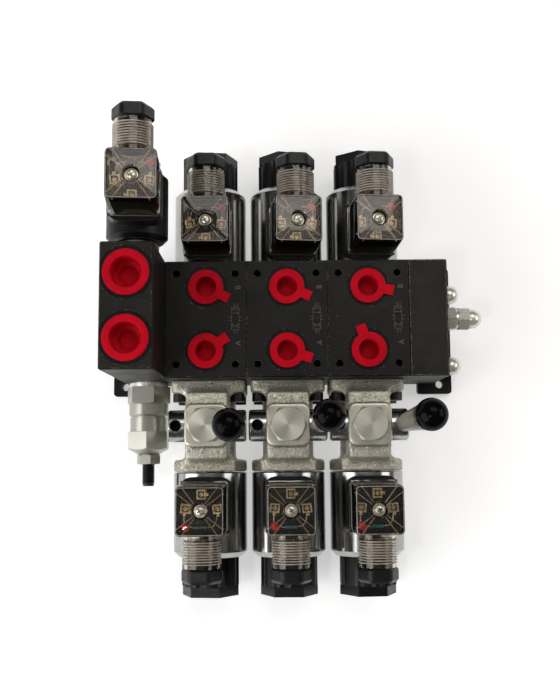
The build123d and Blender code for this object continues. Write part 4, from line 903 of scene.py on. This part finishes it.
def socket_shape():
    """The socket's threaded wall and floor, painted near black as shade inside the hole."""
    shape = bmesh.new()
    crest, root, bottom = SOCKET_RADIUS - 0.12, SOCKET_RADIUS - 0.5, SOCKET_FLOOR + 0.3
    rings = [saddle(SOCKET_RADIUS, -0.5), saddle(crest, -0.5)]
    for k in range(SOCKET_TURNS):
        low = SOCKET_MOUTH - k * SOCKET_PITCH
        rings += [circle(crest, low, SOCKET_SIDES), circle(root, low - 0.6, SOCKET_SIDES)]
    floor = ((root, bottom), (0.05, bottom), (0.05, SOCKET_FLOOR), (SOCKET_RADIUS, SOCKET_FLOOR))
    rings += [circle(radius, height, SOCKET_SIDES) for radius, height in floor]
    add_rings(shape, rings, closed=True)
    return shape


def socket_rim_shape():
    """The chamfer round the socket's mouth, given the brighter screw zinc as a painted highlight."""
    shape = bmesh.new()
    rings = [saddle(SOCKET_RADIUS + 0.75, -0.3), saddle(SOCKET_RADIUS + 0.75, 0.03),
             saddle(SOCKET_RADIUS + 0.1, -0.35), saddle(SOCKET_RADIUS, -0.75)]
    add_rings(shape, rings, closed=True)
    return shape


def build_sockets():
    for number, x in enumerate(SECTIONS, 1):
        place = moved((x - LEVER_SOCKET_OFFSET) * MM, -LEVER_OFFSET * MM, SHAFT_HEIGHT * MM)
        body = f"lever_{number}"
        finish_piece(f"lever_socket_{number}", socket_shape(), "bore_shade", place, body)
        # The rim's brighter zinc is a painted highlight.
        finish_piece(f"lever_socket_rim_{number}", socket_rim_shape(), "bright_screw", place, body)


# Castings

CAST_VOXEL = 0.55
CAST_ROUGHNESS = 0.2
CAST_SMOOTHING = 14
CAST_ROUNDING = 30
COARSE_GRAIN = 3.0
FINE_GRAIN = 1.3
COARSE_SHARE = 0.6
FINE_SHIFT = Vector((7, 3, 5))
CAST_START_Y = -35.5
CAST_END_Y = -88.5
BOSS_LOW_Y = -76.0
BOSS_HIGH_Y = -49.0
BOSS_CLEAR_Z = 42.0
BOSS_TOP = 65.5
BOSS_TOP_BAND = 0.9
FACES_UP = 0.9
NECK_HALF = 12.5
NECK_START = -42.55
NECK_END = -82.45
FLANGE_TOP = 50.0
FLANGE_CORNER = 4.5
FLANGE_SIDE_CORNER = 6.0
COLLAR_TOP = 52.0
COLLAR_SIDE_LOW = 30.0
COLLAR_CORNER = 4.0
COLLAR_SIDE_CORNER = 4.5
SCREW_CLEAR_HEIGHT = 47.2


def concave_corner(start, along, first, second, radius):
    """A strip that rounds the inside corner of two walls, which run along first and second."""
    overlap = 1.0
    shape = bmesh.new()
    flat = [(-overlap, -overlap), (radius, -overlap), (radius, 0.0)]
    for k in range(1, 7):
        angle = math.radians(270 - 15 * k)
        flat.append((radius * (1 + math.cos(angle)), radius * (1 + math.sin(angle))))
    flat.append((-overlap, radius))
    first, second, start = Vector(first), Vector(second), Vector(start)
    ends = (start, start + Vector(along))
    add_rings(shape, [[end + first * a + second * b for a, b in flat] for end in ends])
    bmesh.ops.recalc_face_normals(shape, faces=shape.faces)
    return shape


def cast_corners(x):
    """The strips where the neck grows out of the flange and the collar."""
    across = (2 * NECK_HALF, 0, 0)
    up = (0, 0, 1)
    strips = [((x - NECK_HALF, NECK_START, FLANGE_TOP), across, (0, 1, 0), up, FLANGE_CORNER),
              ((x - NECK_HALF, NECK_END, COLLAR_TOP), across, (0, -1, 0), up, COLLAR_CORNER)]
    for side in (-1, 1):
        edge, out = x + side * NECK_HALF, (side, 0, 0)
        for y, low, top, way, radius in (
                (NECK_START, SCREW_CLEAR_HEIGHT, FLANGE_TOP, (0, -1, 0), FLANGE_SIDE_CORNER),
                (NECK_END, COLLAR_SIDE_LOW, COLLAR_TOP, (0, 1, 0), COLLAR_SIDE_CORNER)):
            strips.append(((edge, y, low), (0, 0, top - low), out, way, radius))
    return strips


def casting_mesh(node, x):
    """The housing's solid, remeshed fine so that its edges round off as a casting's do."""
    shape = bmesh.new()
    shape.from_mesh(nodes[node].data)
    bmesh.ops.remove_doubles(shape, verts=shape.verts, dist=0.001 * MM)
    for strip in cast_corners(x):
        merge(shape, concave_corner(*strip), Matrix.Scale(MM, 4))
    mesh = bpy.data.meshes.new(f"{node}_cast")
    shape.to_mesh(mesh)
    shape.free()
    made = put_in_scene(f"{node}_cast", mesh)
    grid = made.modifiers.new("grid", "REMESH")
    grid.mode = "VOXEL"
    grid.voxel_size = CAST_VOXEL * MM
    soft = made.modifiers.new("soft", "SMOOTH")
    soft.iterations = CAST_SMOOTHING
    soft.factor = 0.5
    graph = bpy.context.evaluated_depsgraph_get()
    done = bpy.data.meshes.new_from_object(made.evaluated_get(graph))
    bpy.data.objects.remove(made)
    return done


def is_machined(point):
    """True on the boss's top, which is cut flat after casting."""
    return point.z > (BOSS_TOP - BOSS_TOP_BAND) * MM


def is_soft(point):
    """True on the parts left as cast, away from the boss and from the faces that meet other pieces."""
    _, y, z = point / MM
    beside_boss = BOSS_LOW_Y < y < BOSS_HIGH_Y and z > BOSS_CLEAR_Z
    return CAST_END_Y < y < CAST_START_Y and not beside_boss


def round_off(mesh):
    """Wears the casting's own edges round."""
    shape = bmesh.new()
    shape.from_mesh(mesh)
    soft = [vertex for vertex in shape.verts if is_soft(vertex.co)]
    for _ in range(CAST_ROUNDING):
        bmesh.ops.smooth_vert(
            shape, verts=soft, factor=0.5, use_axis_x=True, use_axis_y=True, use_axis_z=True)
    shape.to_mesh(mesh)
    shape.free()


def roughen(mesh):
    """Moves each point a little along its normal, by two sizes of cast grain."""
    normals = [Vector(v.normal) for v in mesh.vertices]
    for vertex, normal in zip(mesh.vertices, normals):
        if is_machined(vertex.co):
            continue
        coarse = noise.noise(vertex.co / (COARSE_GRAIN * MM))
        fine = noise.noise(vertex.co / (FINE_GRAIN * MM) + FINE_SHIFT)
        vertex.co += normal * (coarse * COARSE_SHARE + fine) * CAST_ROUGHNESS * MM


def build_castings():
    for number, x in enumerate(SECTIONS, 1):
        node = f"lever_housing_{number}"
        mesh = casting_mesh(node, x)
        round_off(mesh)
        roughen(mesh)
        mesh.materials.clear()
        mesh.materials.append(MATERIALS["casting"])
        mesh.materials.append(MATERIALS["zinc"])
        for face in mesh.polygons:
            face.use_smooth = True
            face.material_index = int(is_machined(face.center) and face.normal.z > FACES_UP)
        made = put_in_scene(f"casting_{number}", mesh)
        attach(made, BODY)
        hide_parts(node)


# Marks on the sections' faces

MARK_HEIGHT = 0.03
LETTER_SIZE = 4.4
LETTER_LINE = 19.2
LETTERS = (("B", 18.6), ("A", -14.6))
STROKE = 0.22
SYMBOL_LINE = 17.4
SYMBOL_HALF = 2.2
SYMBOL_PITCH = 4.4


def letter_piece(name, letter, x, y):
    """A port letter, read from the right-hand side."""
    curve = bpy.data.curves.new(name, "FONT")
    curve.body = letter
    curve.size = LETTER_SIZE * MM
    curve.extrude = MARK_HEIGHT * MM
    curve.align_x = "CENTER"
    curve.align_y = "CENTER"
    made = put_in_scene(name, curve)
    made.rotation_euler = (0, 0, math.pi / 2)
    made.location = (x * MM, y * MM, PORT_FACE * MM)
    curve.materials.append(MATERIALS["marks"])
    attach(made, BODY)


def add_stroke(shape, start, end):
    """A straight raised line on the port face."""
    way = Vector(end) - Vector(start)
    place = moved(*start, PORT_FACE) @ turned(math.atan2(way.y, way.x), "Z")
    half = STROKE / 2
    add_box(shape, (-half, way.length + half), (-half, half), (0, MARK_HEIGHT), 0, place)


def add_outline(shape, corners):
    for start, end in zip(corners, corners[1:] + corners[:1]):
        add_stroke(shape, start, end)


def add_arrow(shape, start, end):
    add_stroke(shape, start, end)
    way = (Vector(end) - Vector(start)).normalized()
    for turn in (2.6, -2.6):
        barb = Vector(end) + Matrix.Rotation(turn, 2) @ way * 1.1
        add_stroke(shape, end, tuple(barb))


def symbol_shape(x):
    """A plain four-way, three-place valve symbol with its coils and springs, along Y."""
    shape = bmesh.new()
    middle, pitch, side = x + SYMBOL_LINE, SYMBOL_PITCH, 1.1
    left, right = middle - SYMBOL_HALF, middle + SYMBOL_HALF
    for k in (-1, 0, 1):
        low, high = (k - 0.5) * pitch, (k + 0.5) * pitch
        add_outline(shape, [(left, low), (right, low), (right, high), (left, high)])
    add_arrow(shape, (left, pitch - side), (right, pitch - side))
    add_arrow(shape, (right, pitch + side), (left, pitch + side))
    add_arrow(shape, (left, -pitch - side), (right, -pitch + side))
    add_arrow(shape, (right, -pitch - side), (left, -pitch + side))
    for edge, out in ((left, -1.5), (right, 1.5)):
        for dy in (-side, side):
            add_stroke(shape, (edge, dy), (edge + out, dy))
    for end in (-1, 1):
        low = end * 1.5 * pitch
        zigzag = [(middle - 1.0 + (k % 2) * 1.3, low + end * 0.8 * k) for k in range(4)]
        for start, stop in zip(zigzag, zigzag[1:]):
            add_stroke(shape, start, stop)
        add_stroke(shape, (middle + 1.4, low), (middle + 1.4, low + end * 2.4))
    return shape


def build_marks():
    for number, x in enumerate(SECTIONS, 1):
        for letter, y in LETTERS:
            letter_piece(f"letter_{letter}_{number}", letter, x + LETTER_LINE, y)
        finish_piece(f"symbol_{number}", symbol_shape(x), "marks")


# Relief screw with its thread

RELIEF_SCREW_LOW = 29.0
RELIEF_SCREW_HIGH = 63.4
RELIEF_PITCH = 1.25
RELIEF_CORE = 3.4
RELIEF_CREST = 3.95
RELIEF_END = 3.3


def relief_screw_shape():
    """The adjusting screw with a ridge for each turn, and a hollow in its end."""
    shape = bmesh.new()
    profile = [(RELIEF_END, RELIEF_SCREW_LOW), (RELIEF_CORE, RELIEF_SCREW_LOW + 0.4)]
    for k in range(int((RELIEF_SCREW_HIGH - RELIEF_SCREW_LOW - 1.5) / RELIEF_PITCH)):
        low = RELIEF_SCREW_LOW + 0.6 + k * RELIEF_PITCH
        profile += [(RELIEF_CORE, low), (RELIEF_CREST, low + 0.5), (RELIEF_CREST, low + 0.72),
                    (RELIEF_CORE, low + 1.2)]
    profile += [(RELIEF_END, RELIEF_SCREW_HIGH), (2.3, RELIEF_SCREW_HIGH), (2.2, RELIEF_SCREW_HIGH - 2.5)]
    add_lathe(shape, profile, 36, place=outward_turn())
    return shape


def build_relief_screw():
    place = seat(INLET_MIDDLE, SPOOL_HEIGHT, -1, BLOCK_SIDE)
    finish_piece("relief_screw_thread", relief_screw_shape(), "black_screw", place, "relief_adjuster",
                 replaces=["relief_screw"])


# Stage


def build_camera():
    """The camera at the photograph's place, looking down on the ports."""
    data = bpy.data.cameras.new("camera")
    data.sensor_width = SENSOR
    data.lens = FOCAL_PIXELS / IMAGE_HEIGHT * SENSOR
    data.clip_start = 0.01
    camera = put_in_scene("camera", data)
    turn = Matrix.Rotation(CAMERA_ROLL, 3, "Z") @ Matrix.Rotation(CAMERA_TILT, 3, "X")
    turn = turn @ Matrix.Rotation(CAMERA_YAW, 3, "Y")
    place = Matrix.Translation(Vector(CAMERA_PLACE) * MM)
    camera.matrix_world = place @ turn.transposed().to_4x4()
    bpy.context.scene.camera = camera


def area_light(name, place, size, power, colour):
    """A soft light panel that faces the object."""
    data = bpy.data.lights.new(name, "AREA")
    data.shape = "RECTANGLE"
    data.size, data.size_y = size
    data.energy = power
    data.color = colour
    light = put_in_scene(name, data)
    light.location = place
    light.rotation_euler = (Vector((0, 0, 0.05)) - Vector(place)).to_track_quat("-Z", "Y").to_euler()


SKY_ENDS = (0.16, 0.26)
SKY_MIDDLE = ((0.3, 0.06), (0.85, 0.08))
WINDOW = (0.65, 0.65, 0.65)


def build_lights():
    area_light("key", (-1.1, -0.55, 0.8), (1.35, 1.1), 17.0, (1.0, 1.0, 1.0))
    area_light("back", (0.2, 0.62, 1.25), (0.95, 0.6), 5.8, (1.0, 0.97, 0.92))
    area_light("side", (1.1, 0.1, 0.7), (0.8, 0.6), 4.0, (1.0, 0.98, 0.95))
    area_light("lamp", (-0.42, -0.42, 1.45), (0.1, 0.1), 2.0, (1.0, 0.98, 0.94))


def build_world():
    """A grey room with a paler window for the metal to show, and a white background for the camera."""
    world = bpy.data.worlds.new("studio")
    bpy.context.scene.world = world
    world.use_nodes = True
    tree = world.node_tree
    around = tree.nodes["Background"]
    way = parts_of(tree, add(tree, "TexCoord").outputs["Generated"])
    ramp = add(tree, "ValToRGB", {"Fac": way["Z"]})
    stops = ramp.color_ramp.elements
    for stop, level in zip(list(stops), SKY_ENDS):
        stop.color = (level, level, level, 1)
    for position, level in SKY_MIDDLE:
        stops.new(position).color = (level, level, level, 1)
    beside, low = ranged(tree, way["X"], -0.35, -0.85), ranged(tree, way["Z"], 0.45, 0.15)
    window = maths(tree, "MULTIPLY", beside, low)
    link(mixed(tree, window, ramp.outputs["Color"], WINDOW), around, "Color")
    pale = add(tree, "Background", {"Color": (1.0, 1.0, 1.0, 1.0)})
    seen = add(tree, "LightPath").outputs["Is Camera Ray"]
    both = add(tree, "MixShader", {0: seen, 1: around.outputs[0], 2: pale.outputs[0]})
    link(both.outputs[0], tree.nodes["World Output"], "Surface")


FLOOR_SIZE = 4.0
FLOOR_DROP = 0.0004


def build_floor():
    """A plain pale floor that keeps the object's shadow."""
    mesh = bpy.data.meshes.new("floor")
    half = FLOOR_SIZE / 2
    square = ((-half, -half), (half, -half), (half, half), (-half, half))
    mesh.from_pydata([(*corner, -FLOOR_DROP) for corner in square], [], [(0, 1, 2, 3)])
    floor = put_in_scene("floor", mesh)
    material, tree, shader = new_material("pale_floor", Roughness=0.9, Specular_IOR_Level=0.0)
    link(mixed(tree, noise_of(tree, 3), (0.78, 0.78, 0.78), (0.8, 0.8, 0.8)), shader, "Base Color")
    path = add(tree, "LightPath").outputs
    seen = maths(tree, "MAXIMUM", path["Is Camera Ray"], path["Is Glossy Ray"])
    seen = maths(tree, "MAXIMUM", seen, path["Is Transmission Ray"])
    shader.inputs["Emission Color"].default_value = (1.0, 1.0, 1.0, 1.0)
    far = add(tree, "VectorMath", {0: place_of(tree)}, operation="LENGTH").outputs["Value"]
    glow = maths(tree, "MULTIPLY", seen, ranged(tree, far, 0.4, 1.6, 0.45, 1.0))
    link(glow, shader, "Emission Strength")
    mesh.materials.append(material)


paint_nodes()
for index, (place, shift, side) in enumerate(connector_seats(), 1):
    build_connector(index, place, shift, side)
build_castings()
build_main_plugs()
build_sockets()
build_marks()
build_relief_screw()
build_camera()
build_lights()
build_world()
build_floor()
bpy.context.scene.view_settings.view_transform = "Standard"
